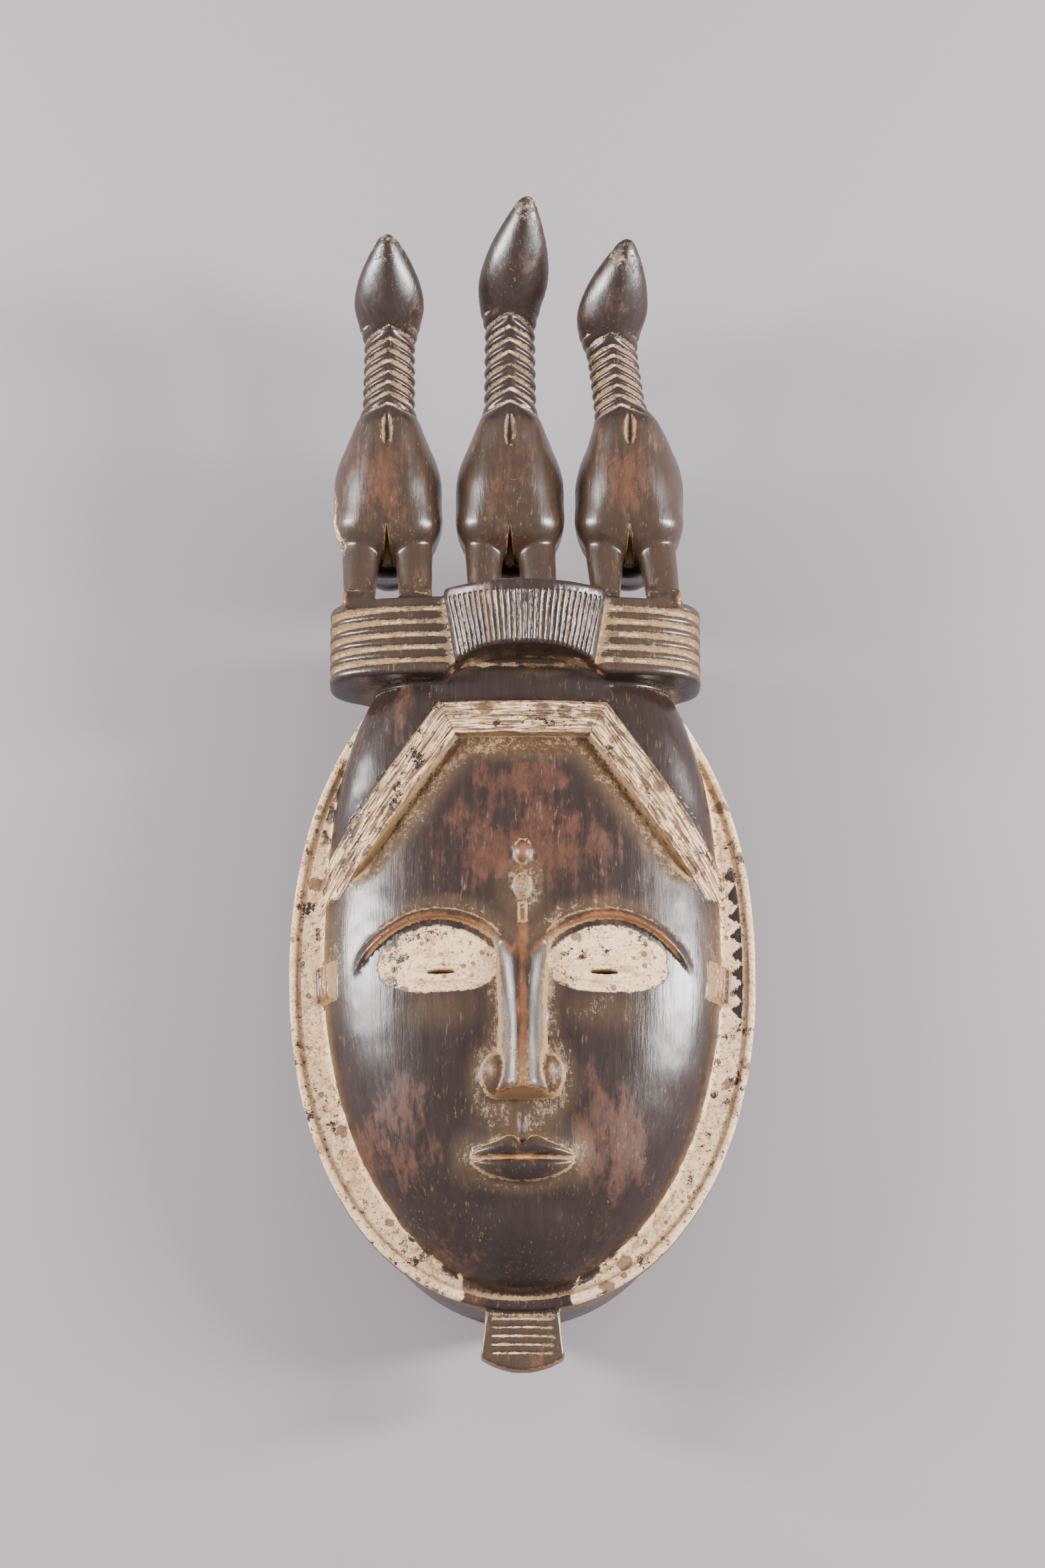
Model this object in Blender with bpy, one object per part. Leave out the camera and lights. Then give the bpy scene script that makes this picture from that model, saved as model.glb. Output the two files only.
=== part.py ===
"""Yaure face mask carved from one block: hollow oval face, three-lobed crest and three birds.

The mask lies on its flat back rim. x runs across it, y from the chin to the birds, z out of the
back. The origin is on the rim under the chin. The carving is one scalar field that is
negative inside the wood. A lattice of tetrahedra turns the field into one closed skin.
"""
import math

import bpy
import numpy as np

# Head: plan outlines are egg curves round the head centre, in metres
HEAD_CENTRE_Y = 0.128
COLLAR_HALF_WIDTH = 0.0945
COLLAR_BELOW = 0.1376
COLLAR_ABOVE = 0.141
COLLAR_POWER = 2.15
COLLAR_FRONT = 0.050
COLLAR_THICKNESS = 0.007
COLLAR_OVERHANG = 0.0025
COLLAR_BEAD_WIDTH = 0.0030
COLLAR_BEAD_HEIGHT = 0.0011
COLLAR_GROOVE_WIDTH = 0.0012
RIM_HALF_WIDTH = 0.0835
RIM_BELOW = 0.1365
RIM_ABOVE = 0.133
RIM_WIDTH = 0.0092
HOLLOW_BELOW = 0.1234
FACE_HALF_WIDTH = 0.0812
FACE_BELOW = 0.1312
FACE_ABOVE = 0.150
FACE_POWERS = (2.0, 2.5)
FACE_FRONT = 0.086
DOME_START = 0.042
DOME_POWER = 2.5
FACE_WALL = 0.0115
HOLLOW_POWER = 2.8

# Hair band: three mitred strips across the forehead
BAND_TOP_Y = 0.2272
BAND_CORNER_X = 0.0305
BAND_END_X = 0.0790
BAND_END_Y = 0.1600
BAND_WIDTH = 0.0142
BAND_RAISE = 0.0024
BAND_RECESS = 0.0024
CAP_RAISE = 0.0050
BAND_GROOVES = 5
BAND_GROOVE_DEPTH = 0.0008

# Face in the traditional manner, laid out by thirds between the hair band and the chin
FACE_BASE_Y = -0.003
FACE_HAIRLINE_Y = 0.217
EYE_CENTRE_X = 0.0325
EYE_SLIT_LENGTH = 0.0115
EYE_SLIT_HEIGHT = 0.0018
NOSE_RAISE = 0.0165
LIP_RAISE = 0.0044
LIP_HALF_LENGTH = 0.0205
TEMPLE_WIDTH = 0.0135
TEMPLE_HEIGHT = 0.0150
TEMPLE_RIDGES = 4

# Chin tab
TAB_TOP_HALF_WIDTH = 0.0147
TAB_BOTTOM_HALF_WIDTH = 0.0175
TAB_BOTTOM_Y = -0.0330
TAB_THICKNESS = 0.0110
TAB_GROOVES = 5

# Crest
CREST_CENTRE_X = -0.003
CREST_BOTTOM_Y = 0.2445
CREST_TOP_Y = 0.2770
LOBE_HALF_SPAN = 0.0760
LOBE_FRONT = 0.0870
LOBE_BACK = 0.0280
LOBE_GROOVES = 5
LOBE_GROOVE_DEPTH = 0.0010
LOBE_POWER = 3.2
FAN_CENTRE_X = 0.0010
FAN_TOP_HALF_WIDTH = 0.0330
FAN_BOTTOM_HALF_WIDTH = 0.0277
FAN_FRONT = 0.1050
FAN_RADIUS = 0.0460
FAN_TAPER = 0.0030
FAN_ARCH = 0.0085
FAN_GROOVES = 27
FAN_GROOVE_DEPTH = 0.0009
FLUTE_REACH = 0.03

# Birds: places across the mask of feet, body, neck base, neck top and tip; y of neck top and tip
BIRDS = (
    {"foot": -0.0550, "body": -0.0555, "base": -0.0552, "neck": -0.0548,
     "tip": -0.0555, "neck_y": 0.3990, "tip_y": 0.4202},
    {"foot": -0.0040, "body": -0.0052, "base": -0.0051, "neck": -0.0053,
     "tip": 0.0020, "neck_y": 0.4060, "tip_y": 0.4343},
    {"foot": 0.0465, "body": 0.0440, "base": 0.0412, "neck": 0.0355,
     "tip": 0.0430, "neck_y": 0.3950, "tip_y": 0.4176},
)
BODY_RADIUS = 0.0224
BODY_Y = 0.3170
BODY_Z = 0.0620
BREAST_Y = 0.3530
BREAST_Z = 0.0740
NECK_RADIUS = 0.0104
NECK_RINGS = 10
NECK_POWER = 1.65
NECK_RING_DEPTH = 0.0013
HEAD_HALF_WIDTH = 0.0144
HEAD_WIDEST = 0.30
HEAD_DEPTH_SHARE = 0.78
HEAD_POWER = 1.5
HEAD_TILT_DEG = 42.0
LEG_SPREAD = 0.0112
LEG_RADIUS = 0.0068
LEG_GAP = 0.0090
FOOT_HEIGHT = 0.0045
NOTCH_HALF_WIDTH = 0.0023
NOTCH_HALF_LENGTH = 0.0078
NOTCH_DEPTH = 0.0024
TAIL_Y = 0.3060
TAIL_Z = 0.0390
TAIL_RADIUS = 0.0122

# Skin of the solid
LATTICE_STEP = 0.0015
BACK_SPARE = 0.0020
SKIN_TRIANGLES = 6600
SEARCH_REACH = 0.080
SEARCH_STEPS = 60
NEAR_REACH = 0.010
FAR_OFF = 0.100
EDGE_ROUND = 0.0020


def blend(first, second, radius):
    """Union of two fields with a fillet of the given radius."""
    share = np.clip(0.5 + 0.5 * (second - first) / radius, 0.0, 1.0)
    return second + (first - second) * share - radius * share * (1.0 - share)


def overlap(first, second, radius):
    """Common part of two fields with a rounded edge."""
    return -blend(-first, -second, radius)


def bump(distance, width):
    """1 at distance 0, falling smoothly to 0 at the given width."""
    share = np.clip(1.0 - (distance / width) ** 2, 0.0, 1.0)
    return share * share


def plateau(distance, half_width, edge):
    """1 where the distance is under the half width, 0 beyond it, with a smooth edge."""
    share = np.clip((half_width - distance) / edge + 0.5, 0.0, 1.0)
    return share * share * (3.0 - 2.0 * share)


def egg(x, y, half_width, below, above, powers=(COLLAR_POWER, COLLAR_POWER)):
    """Radius ratio in an egg curve round the head centre: 1 on the curve. One power for each half."""
    rise = y - HEAD_CENTRE_Y
    span = np.where(rise < 0.0, below, above)
    power = np.where(rise < 0.0, powers[0], powers[1])
    across = np.abs(x) / half_width
    along = np.abs(rise) / span
    return (across ** power + along ** power) ** (1.0 / power)


def limb(x, y, z, start, end, start_radius, end_radius):
    """Tapered round limb between two points."""
    axis = np.subtract(end, start)
    length_squared = float(axis @ axis)
    along = ((x - start[0]) * axis[0] + (y - start[1]) * axis[1] + (z - start[2]) * axis[2]) / length_squared
    along = np.clip(along, 0.0, 1.0)
    gap = np.sqrt(
        (x - start[0] - along * axis[0]) ** 2
        + (y - start[1] - along * axis[1]) ** 2
        + (z - start[2] - along * axis[2]) ** 2
    )
    return gap - start_radius - (end_radius - start_radius) * along


def face_levels():
    """Heights of brow, eye, nose base and mouth from the thirds of the face."""
    third = (FACE_HAIRLINE_Y - FACE_BASE_Y) / 3.0
    brow = FACE_HAIRLINE_Y - third
    nose_base = FACE_BASE_Y + third
    eye = brow - 0.30 * third
    mouth = nose_base - third / 3.0
    return brow, eye, nose_base, mouth


def band_signed(x, y):
    """Distance outward across the hair band from its centre line, negative on the forehead side."""
    side = np.abs(x)
    slant_x = BAND_END_X - BAND_CORNER_X
    slant_y = BAND_END_Y - BAND_TOP_Y
    slant = math.hypot(slant_x, slant_y)
    over_top = y - BAND_TOP_Y
    over_slant = (side - BAND_CORNER_X) * (-slant_y) / slant + (y - BAND_TOP_Y) * slant_x / slant
    return np.maximum(over_top, over_slant)


def brow_distance(x, y):
    """Distance above the brow line: an arch over each eye that runs down into the nose."""
    brow, eye, _, _ = face_levels()
    side = np.abs(x)
    inner = np.clip(1.0 - side / (1.1 * EYE_CENTRE_X), 0.0, 1.0)
    outer = np.clip((side - 1.1 * EYE_CENTRE_X) / (0.95 * EYE_CENTRE_X), 0.0, 1.2)
    arch = brow - (brow - eye) * (0.95 * inner ** 2.2 + 0.80 * outer ** 2)
    slope = 1.0 + (1.35 * inner) ** 2 + (1.05 * outer) ** 2
    return (y - arch) / np.sqrt(slope)


def eye_relief(x, y):
    """Hollow under each brow, a lowered lid that swells in it, and the brow ridge."""
    _, eye, _, _ = face_levels()
    side = np.abs(x)
    above_brow = brow_distance(x, y)
    orbit = np.hypot((side - 1.05 * EYE_CENTRE_X) / (0.98 * EYE_CENTRE_X), (y - eye + 0.001) / 0.0240)
    under_brow = plateau(above_brow, -0.0010, 0.0030)
    relief = -0.0048 * plateau(orbit, 0.92, 0.24) * under_brow
    lid = np.hypot((side - 1.03 * EYE_CENTRE_X) / (0.80 * EYE_CENTRE_X), (y - eye) / 0.0145)
    relief += 0.0060 * np.clip(1.0 - lid ** 2, 0.0, 1.0) ** 0.6
    opening = np.hypot((side - EYE_CENTRE_X) / (0.52 * EYE_CENTRE_X), (y - eye + 0.0010) / 0.0034)
    relief += 0.0008 * bump(opening - 1.0, 0.35)
    crease = np.hypot((side - EYE_CENTRE_X) / (0.50 * EYE_CENTRE_X), (y - eye + 0.0010) / 0.0011)
    relief -= 0.0012 * bump(crease, 1.0)
    brow_reach = plateau(side, 2.02 * EYE_CENTRE_X, 0.010)
    relief += 0.0033 * bump(above_brow, 0.0045) * brow_reach
    return relief


def nose_relief(x, y):
    """Slender nose that grows from the meeting of the brows, with two small wings."""
    brow, _, nose_base, _ = face_levels()
    side = np.abs(x)
    up = np.clip((y - nose_base) / (brow - nose_base), 0.0, 1.0)
    rise = NOSE_RAISE * (1.0 - 0.66 * up ** 0.85) * plateau(y - brow + 0.007, 0.0, 0.022)
    foot = plateau(nose_base - y, 0.0, 0.0024)
    half = 0.0125 - 0.0030 * np.sin(math.pi * up ** 0.8)
    shape = np.clip(1.0 - (side / half) ** 2.4, 0.0, 1.0) ** 0.85
    wing = np.hypot((side - 0.0102) / 0.0066, (y - nose_base - 0.0082) / 0.0092)
    wings = 0.0092 * np.clip(1.0 - wing ** 2, 0.0, 1.0) ** 0.6 * foot
    return -blend(-rise * shape * foot, -wings, 0.0016)


def mouth_relief(x, y):
    """Small closed lips on a low mound, and the chin below them."""
    _, _, _, mouth = face_levels()
    side = np.abs(x)
    mound = np.hypot(side / 0.034, (y - mouth) / 0.022)
    relief = 0.0034 * bump(mound, 1.0)
    taper = np.sqrt(np.clip(1.0 - (side / LIP_HALF_LENGTH) ** 2, 0.0, 1.0))
    bow = 0.0009 * (bump(side - 0.0055, 0.006) - bump(side, 0.0035)) * taper
    upper_half = 0.0034 * taper + bow + 0.0003
    upper = (y - mouth - upper_half) / upper_half
    lower_half = 0.0042 * taper ** 1.2 + 0.0003
    lower = (y - mouth + lower_half) / lower_half
    round_upper = np.clip(1.0 - upper ** 2, 0.0, 1.0) ** 0.6
    round_lower = np.clip(1.0 - lower ** 2, 0.0, 1.0) ** 0.6
    relief += LIP_RAISE * np.maximum(0.95 * round_upper, round_lower) * taper ** 0.7
    philtrum = bump(side, 0.0026) * plateau(np.abs(y - mouth - 0.0135), 0.0050, 0.004)
    relief -= 0.0010 * philtrum
    chin = np.hypot(side / 0.026, (y - FACE_BASE_Y - 0.020) / 0.017)
    return relief + 0.0036 * bump(chin, 1.0)


def hair_relief(x, y):
    """Raised hair band with the recess on its forehead side, and the cap of hair outside it."""
    over = band_signed(x, y)
    in_band = plateau(np.abs(over), 0.5 * BAND_WIDTH, 0.0012)
    recess = bump(over + 0.5 * BAND_WIDTH + 0.0012, 0.0085) * plateau(over + 0.5 * BAND_WIDTH, 0.0, 0.0012)
    cap = plateau(-over + 0.5 * BAND_WIDTH, 0.0, 0.0015)
    above_end = plateau(BAND_END_Y + 0.004 - y, 0.0, 0.010)
    swell = CAP_RAISE * plateau(0.5 * BAND_WIDTH + 0.010 - over, 0.0, 0.018)
    return (BAND_RAISE * in_band - BAND_RECESS * recess + (0.45 * BAND_RAISE + swell) * cap) * above_end


def mark_relief(x, y):
    """Raised scars over the nose: two bosses and a bar."""
    brow, _, _, _ = face_levels()
    relief = np.zeros_like(x)
    for height in (0.012, 0.026):
        boss = np.hypot(x / 0.0036, (y - brow - height) / 0.0054)
        relief += 0.0030 * np.clip(1.0 - boss ** 2, 0.0, 1.0) ** 0.6
    bar = np.maximum(np.abs(x) - 0.0014, np.abs(y - brow - 0.001) - 0.0038)
    return relief + 0.0012 * plateau(bar, 0.0, 0.0012)


def temple_block(x, y, z):
    """Height over the side of the face of the ridged scar block at each temple."""
    _, eye, _, _ = face_levels()
    rows = np.abs(y - eye) - 0.5 * TEMPLE_HEIGHT
    reach = np.abs(z - COLLAR_FRONT - 0.5 * TEMPLE_WIDTH - 0.001) - 0.5 * TEMPLE_WIDTH
    block = plateau(np.maximum(rows, reach), 0.0, 0.0012)
    block = block * plateau(0.5 * FACE_HALF_WIDTH - np.abs(x), 0.0, 0.001)
    phase = (z - COLLAR_FRONT) / TEMPLE_WIDTH * TEMPLE_RIDGES
    return block * (0.0019 - 0.0007 * (0.5 - 0.5 * np.cos(2.0 * math.pi * phase)))


def head_field(x, y, z):
    """Oval head: tapered wall, flat collar with its bead, and the carved face."""
    up_wall = np.clip(z / (COLLAR_FRONT - COLLAR_THICKNESS), 0.0, 1.0)
    lip = plateau(COLLAR_FRONT - COLLAR_THICKNESS - z, 0.0, 0.0015)
    under = COLLAR_HALF_WIDTH - COLLAR_OVERHANG
    half_width = RIM_HALF_WIDTH + (under - RIM_HALF_WIDTH) * up_wall + COLLAR_OVERHANG * lip
    below = RIM_BELOW + (COLLAR_BELOW - COLLAR_OVERHANG - RIM_BELOW) * up_wall + COLLAR_OVERHANG * lip
    above = RIM_ABOVE + (COLLAR_ABOVE - COLLAR_OVERHANG - RIM_ABOVE) * up_wall + COLLAR_OVERHANG * lip
    wall = (egg(x, y, half_width, below, above) - 1.0) * half_width

    edge = (1.0 - egg(x, y, COLLAR_HALF_WIDTH, COLLAR_BELOW, COLLAR_ABOVE)) * COLLAR_HALF_WIDTH
    bead = plateau(edge, COLLAR_BEAD_WIDTH, 0.0010)
    groove = bump(edge - COLLAR_BEAD_WIDTH - COLLAR_GROOVE_WIDTH, COLLAR_GROOVE_WIDTH)
    collar_front = COLLAR_FRONT + COLLAR_BEAD_HEIGHT * (bead - 0.6 * groove)
    plate = overlap(wall, z - collar_front, EDGE_ROUND)

    relief = np.maximum(eye_relief(x, y), nose_relief(x, y)) + mouth_relief(x, y)
    relief += hair_relief(x, y) + mark_relief(x, y)
    face_ratio = egg(x, y, FACE_HALF_WIDTH, FACE_BELOW, FACE_ABOVE, FACE_POWERS)
    rise = np.clip(z - relief - DOME_START, 0.0, None) / (FACE_FRONT - DOME_START)
    dome_ratio = (face_ratio ** DOME_POWER + rise ** DOME_POWER) ** (1.0 / DOME_POWER)
    dome = (dome_ratio - 1.0) * 0.6 * FACE_HALF_WIDTH
    dome -= temple_block(x, y, z)
    return blend(plate, dome, 0.0012)


def hollow_field(x, y, z):
    """Hollow behind the face, open at the back."""
    half_width = RIM_HALF_WIDTH - RIM_WIDTH
    above = RIM_ABOVE - RIM_WIDTH
    depth = FACE_FRONT - FACE_WALL
    ratio = egg(x, y, half_width, HOLLOW_BELOW, above)
    rise = np.clip(z, 0.0, None) / depth
    return ((ratio ** HOLLOW_POWER + rise ** HOLLOW_POWER) ** (1.0 / HOLLOW_POWER) - 1.0) * 0.7 * half_width


def tab_field(x, y, z):
    """Flared chin tab under the collar."""
    top_y = HEAD_CENTRE_Y - COLLAR_BELOW
    down = (top_y - y) / (top_y - TAB_BOTTOM_Y)
    half_width = TAB_TOP_HALF_WIDTH + (TAB_BOTTOM_HALF_WIDTH - TAB_TOP_HALF_WIDTH) * np.clip(down, 0.0, 1.0)
    curve = 0.0055 * (x / TAB_BOTTOM_HALF_WIDTH) ** 2
    end = TAB_BOTTOM_Y + curve - y
    start = y - top_y - 0.006
    front = z - (COLLAR_FRONT - 0.0012)
    back = COLLAR_FRONT - 0.0012 - TAB_THICKNESS - z
    sides = np.abs(x) - half_width
    plan = overlap(sides, np.maximum(end, start), 0.0015)
    return overlap(plan, np.maximum(front, back), 0.0015)


def crest_field(x, y, z):
    """Two grooved side lobes and the fluted fan between them."""
    across = x - CREST_CENTRE_X
    mid_z = 0.5 * (LOBE_FRONT + LOBE_BACK)
    half_z = 0.5 * (LOBE_FRONT - LOBE_BACK)

    in_depth = np.abs(z - mid_z) / half_z
    in_span = np.abs(across) / LOBE_HALF_SPAN
    outline = ((in_span ** LOBE_POWER + in_depth ** LOBE_POWER) ** (1.0 / LOBE_POWER) - 1.0) * half_z
    rows = (y - CREST_BOTTOM_Y) / (CREST_TOP_Y - CREST_BOTTOM_Y) * (LOBE_GROOVES + 1)
    groove = LOBE_GROOVE_DEPTH * (0.5 + 0.5 * np.cos(2.0 * math.pi * rows)) ** 2
    groove = groove * plateau(np.abs(rows - 0.5 * (LOBE_GROOVES + 1)), 0.5 * LOBE_GROOVES, 0.2)
    groove = groove * plateau(LOBE_BACK + 0.012 - z, 0.0, 0.01)
    from_fan = x - FAN_CENTRE_X
    arch = FAN_ARCH * np.clip(1.0 - np.abs(from_fan / FAN_TOP_HALF_WIDTH) ** 3.0, 0.0, None)
    under = CREST_BOTTOM_Y + arch - y
    lobes = overlap(outline + groove, np.maximum(under, y - CREST_TOP_Y), EDGE_ROUND)

    up = np.clip((y - CREST_BOTTOM_Y) / (CREST_TOP_Y - CREST_BOTTOM_Y), 0.0, 1.1)
    half_width = FAN_BOTTOM_HALF_WIDTH + (FAN_TOP_HALF_WIDTH - FAN_BOTTOM_HALF_WIDTH) * up
    axis_z = FAN_FRONT - FAN_RADIUS
    drum = np.hypot(from_fan, z - axis_z) - FAN_RADIUS + FAN_TAPER * (1.0 - up)
    over = y - CREST_TOP_Y - 0.0015
    block = overlap(np.maximum(under - 0.0005, over), np.abs(from_fan) - half_width, EDGE_ROUND)
    block = np.maximum(block, axis_z - 0.010 - z)
    fan = overlap(block, drum, EDGE_ROUND)
    return blend(lobes, fan, 0.0010)


def bird_body(x, y, z, body_x):
    """Egg of a body: a full back, two lobes over the thighs in front, and a blunt tail."""
    hind = (body_x, BODY_Y, BODY_Z)
    middle = (body_x, BODY_Y + 0.0145, BODY_Z + 0.0035)
    breast = (body_x, BREAST_Y - 0.008, BREAST_Z - 0.005)
    core = blend(
        limb(x, y, z, hind, middle, BODY_RADIUS, 0.885 * BODY_RADIUS),
        limb(x, y, z, middle, breast, 0.885 * BODY_RADIUS, 0.69 * BODY_RADIUS),
        0.009,
    )
    for side in (-1.0, 1.0):
        low = (body_x + side * 0.40 * BODY_RADIUS, BODY_Y - 0.005, BODY_Z + 0.009)
        top = (body_x + side * 0.14 * BODY_RADIUS, BREAST_Y - 0.004, BREAST_Z + 0.003)
        core = blend(core, limb(x, y, z, low, top, 0.56 * BODY_RADIUS, 0.42 * BODY_RADIUS), 0.004)
    tail = limb(x, y, z, (body_x, BODY_Y - 0.006, BODY_Z - 0.010), (body_x, TAIL_Y, TAIL_Z),
                0.78 * BODY_RADIUS, TAIL_RADIUS)
    return blend(core, tail, 0.008)


def bird_neck(x, y, z, bird):
    """Ringed neck, edged along its front, from the breast to the head."""
    up = np.clip((y - BREAST_Y) / (bird["neck_y"] - BREAST_Y), -0.3, 1.1)
    centre_x = bird["base"] + (bird["neck"] - bird["base"]) * np.clip(up, 0.0, 1.0)
    across = x - centre_x
    radius = NECK_RADIUS * (1.05 - 0.05 * up)
    phase = (up + 0.35 * np.abs(across) / (bird["neck_y"] - BREAST_Y)) * NECK_RINGS
    ringed = plateau(np.abs(up - 0.50), 0.44, 0.04) * plateau(BREAST_Z - 0.001 - z, 0.0, 0.006)
    facet = 0.45 + 0.55 * np.sin(math.pi * np.clip(np.abs(across) / radius, 0.0, 1.0))
    ring = NECK_RING_DEPTH * (0.5 - 0.5 * np.cos(2.0 * math.pi * phase)) ** 1.5 * ringed * facet
    out = z - BREAST_Z - 0.003 * up
    spread = np.abs(across / radius) ** NECK_POWER + np.abs(out / radius) ** NECK_POWER
    shaft = (spread ** (1.0 / NECK_POWER) - 1.0) * 0.85 * radius + ring
    ends = np.abs(y - 0.5 * (BREAST_Y + bird["neck_y"])) - 0.5 * (bird["neck_y"] - BREAST_Y) - 0.008
    return overlap(shaft, ends, 0.002)


def bird_head(x, y, z, bird):
    """Broad head and pointed bill, keeled along its underside and raised to the front."""
    tilt = math.radians(HEAD_TILT_DEG)
    length = (bird["tip_y"] - bird["neck_y"] + 0.012) / math.cos(tilt)
    rise = y - bird["neck_y"] + 0.006
    out = z - BREAST_Z - 0.002
    ahead = rise * math.cos(tilt) + out * math.sin(tilt)
    lift = -rise * math.sin(tilt) + out * math.cos(tilt)
    share = ahead / length
    to_neck = np.clip((HEAD_WIDEST - share) / HEAD_WIDEST, 0.0, 1.4)
    to_tip = np.clip((share - HEAD_WIDEST) / (1.0 - HEAD_WIDEST), 0.0, 1.0)
    half_width = HEAD_HALF_WIDTH * (1.0 - 0.28 * to_neck ** 2 - 0.86 * to_tip ** 1.7)
    middle = bird["neck"] + (bird["tip"] - bird["neck"]) * np.clip(share, 0.0, 1.0) ** 1.3
    keel = np.abs(lift) / (HEAD_DEPTH_SHARE * half_width)
    spread = (np.abs(x - middle) / half_width) ** HEAD_POWER + keel ** HEAD_POWER
    head = (spread ** (1.0 / HEAD_POWER) - 1.0) * 0.6 * half_width
    return overlap(head, np.abs(share - 0.40) * length - 0.60 * length, 0.003)


def bird_field(x, y, z, bird):
    """Long-necked bird on two stout legs."""
    body_x = bird["body"]
    figure = blend(bird_body(x, y, z, body_x), bird_neck(x, y, z, bird), 0.005)
    figure = blend(figure, bird_head(x, y, z, bird), 0.004)
    for side in (-1.0, 1.0):
        foot_x = bird["foot"] + side * LEG_SPREAD
        hip = (body_x + side * 0.95 * LEG_SPREAD, BODY_Y - 0.014, BODY_Z + 0.008)
        toe = (foot_x, CREST_TOP_Y, BODY_Z + 0.014)
        leg = limb(x, y, z, hip, toe, 1.18 * LEG_RADIUS, 0.98 * LEG_RADIUS)
        foot = np.maximum(np.abs(x - foot_x) - 0.98 * LEG_RADIUS, np.abs(z - toe[2]) - 1.0 * LEG_RADIUS)
        foot = overlap(foot, np.abs(y - CREST_TOP_Y) - FOOT_HEIGHT, 0.0030)
        figure = blend(figure, blend(leg, foot, 0.0015), 0.0012)
    crotch = BODY_Y - 0.0085
    down = np.clip((crotch - y) / (crotch - CREST_TOP_Y), 0.0, 1.0)
    gap = np.maximum(np.abs(x - body_x) - 0.5 * LEG_GAP * down, BODY_Z + 0.004 - z)
    figure = overlap(figure, -np.maximum(gap, y - crotch), 0.0025)
    across = (x - body_x) / NOTCH_HALF_WIDTH
    along = (y - BREAST_Y + 0.0050) / NOTCH_HALF_LENGTH
    return figure + NOTCH_DEPTH * np.clip(1.0 - across ** 2 - along ** 2, 0.0, 1.0) * (z > BREAST_Z)


def where_near(near, field, x, y, z, *extra):
    """A part's field where it can matter, and a large value elsewhere."""
    values = np.full(x.shape, FAR_OFF)
    if near.any():
        values[near] = field(x[near], y[near], z[near], *extra)
    return values


def mask_field(x, y, z, spare=0.0):
    """The whole carving: negative in the wood, which ends the given depth under the back plane."""
    wood = where_near(y < CREST_TOP_Y, head_field, x, y, z)
    in_tab = y < HEAD_CENTRE_Y - COLLAR_BELOW + NEAR_REACH
    in_tab = in_tab & (np.abs(x) < TAB_BOTTOM_HALF_WIDTH + NEAR_REACH)
    wood = blend(wood, where_near(in_tab, tab_field, x, y, z), 0.0012)
    in_crest = (y > CREST_BOTTOM_Y - NEAR_REACH) & (y < CREST_TOP_Y + NEAR_REACH)
    wood = blend(wood, where_near(in_crest, crest_field, x, y, z), 0.0025)
    for bird in BIRDS:
        in_bird = np.abs(x - bird["body"]) < BODY_RADIUS + 2.0 * NEAR_REACH
        in_bird = in_bird & (y > CREST_TOP_Y - NEAR_REACH)
        wood = blend(wood, where_near(in_bird, bird_field, x, y, z, bird), 0.0012)
    in_hollow = y < HEAD_CENTRE_Y + RIM_ABOVE + NEAR_REACH
    hollow = where_near(in_hollow, hollow_field, x, y, z)
    wood = overlap(wood, -hollow, 0.002)
    return np.maximum(wood, -z - spare)


def lattice_values(low, high, step):
    """Field values on a lattice over the box, worked out one layer at a time."""
    axes = [np.arange(low[i], high[i] + step, step) for i in range(3)]
    grid_x, grid_y = np.meshgrid(axes[0], axes[1], indexing="ij")
    layers = [mask_field(grid_x, grid_y, np.full_like(grid_x, level), BACK_SPARE) for level in axes[2]]
    return axes, np.stack(layers, axis=2)


def closed_skin(low, high, step):
    """Triangles of the zero surface, from six tetrahedra in each lattice cell."""
    axes, values = lattice_values(low, high, step)
    shape = values.shape
    flat = values.ravel()
    corner_steps = ((1, 0, 0), (0, 1, 0), (0, 0, 1))
    stride = np.array([shape[1] * shape[2], shape[2], 1])
    cells = np.indices([n - 1 for n in shape]).reshape(3, -1)
    base = cells[0] * stride[0] + cells[1] * stride[1] + cells[2]
    inside = flat < 0.0
    corners = np.array([[i, j, k] for i in (0, 1) for j in (0, 1) for k in (0, 1)])
    offsets = corners @ stride
    count = sum(inside[base + offset].astype(np.int8) for offset in offsets)
    base = base[(count > 0) & (count < 8)]

    triangles = []
    for order in ((0, 1, 2), (1, 2, 0), (2, 0, 1), (0, 2, 1), (2, 1, 0), (1, 0, 2)):
        path = [np.zeros(3, dtype=int)]
        for axis in order:
            path.append(path[-1] + np.array(corner_steps[axis]))
        tetra = np.stack([base + point @ stride for point in path], axis=1)
        odd = order in ((0, 2, 1), (2, 1, 0), (1, 0, 2))
        triangles.extend(tetra_triangles(tetra, inside, odd))
    edges = np.concatenate(triangles).reshape(-1, 2)
    edges.sort(axis=1)
    keys, corner = np.unique(edges[:, 0] * flat.size + edges[:, 1], return_inverse=True)
    first = keys // flat.size
    second = keys % flat.size
    share = np.clip(flat[first] / (flat[first] - flat[second]), 0.06, 0.94)[:, None]
    places = []
    for index in (first, second):
        i, j, k = np.unravel_index(index, shape)
        places.append(np.stack([axes[0][i], axes[1][j], axes[2][k]], axis=1))
    points = np.round(places[0] + (places[1] - places[0]) * share, 6)
    return points, corner.reshape(-1, 3)


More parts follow.
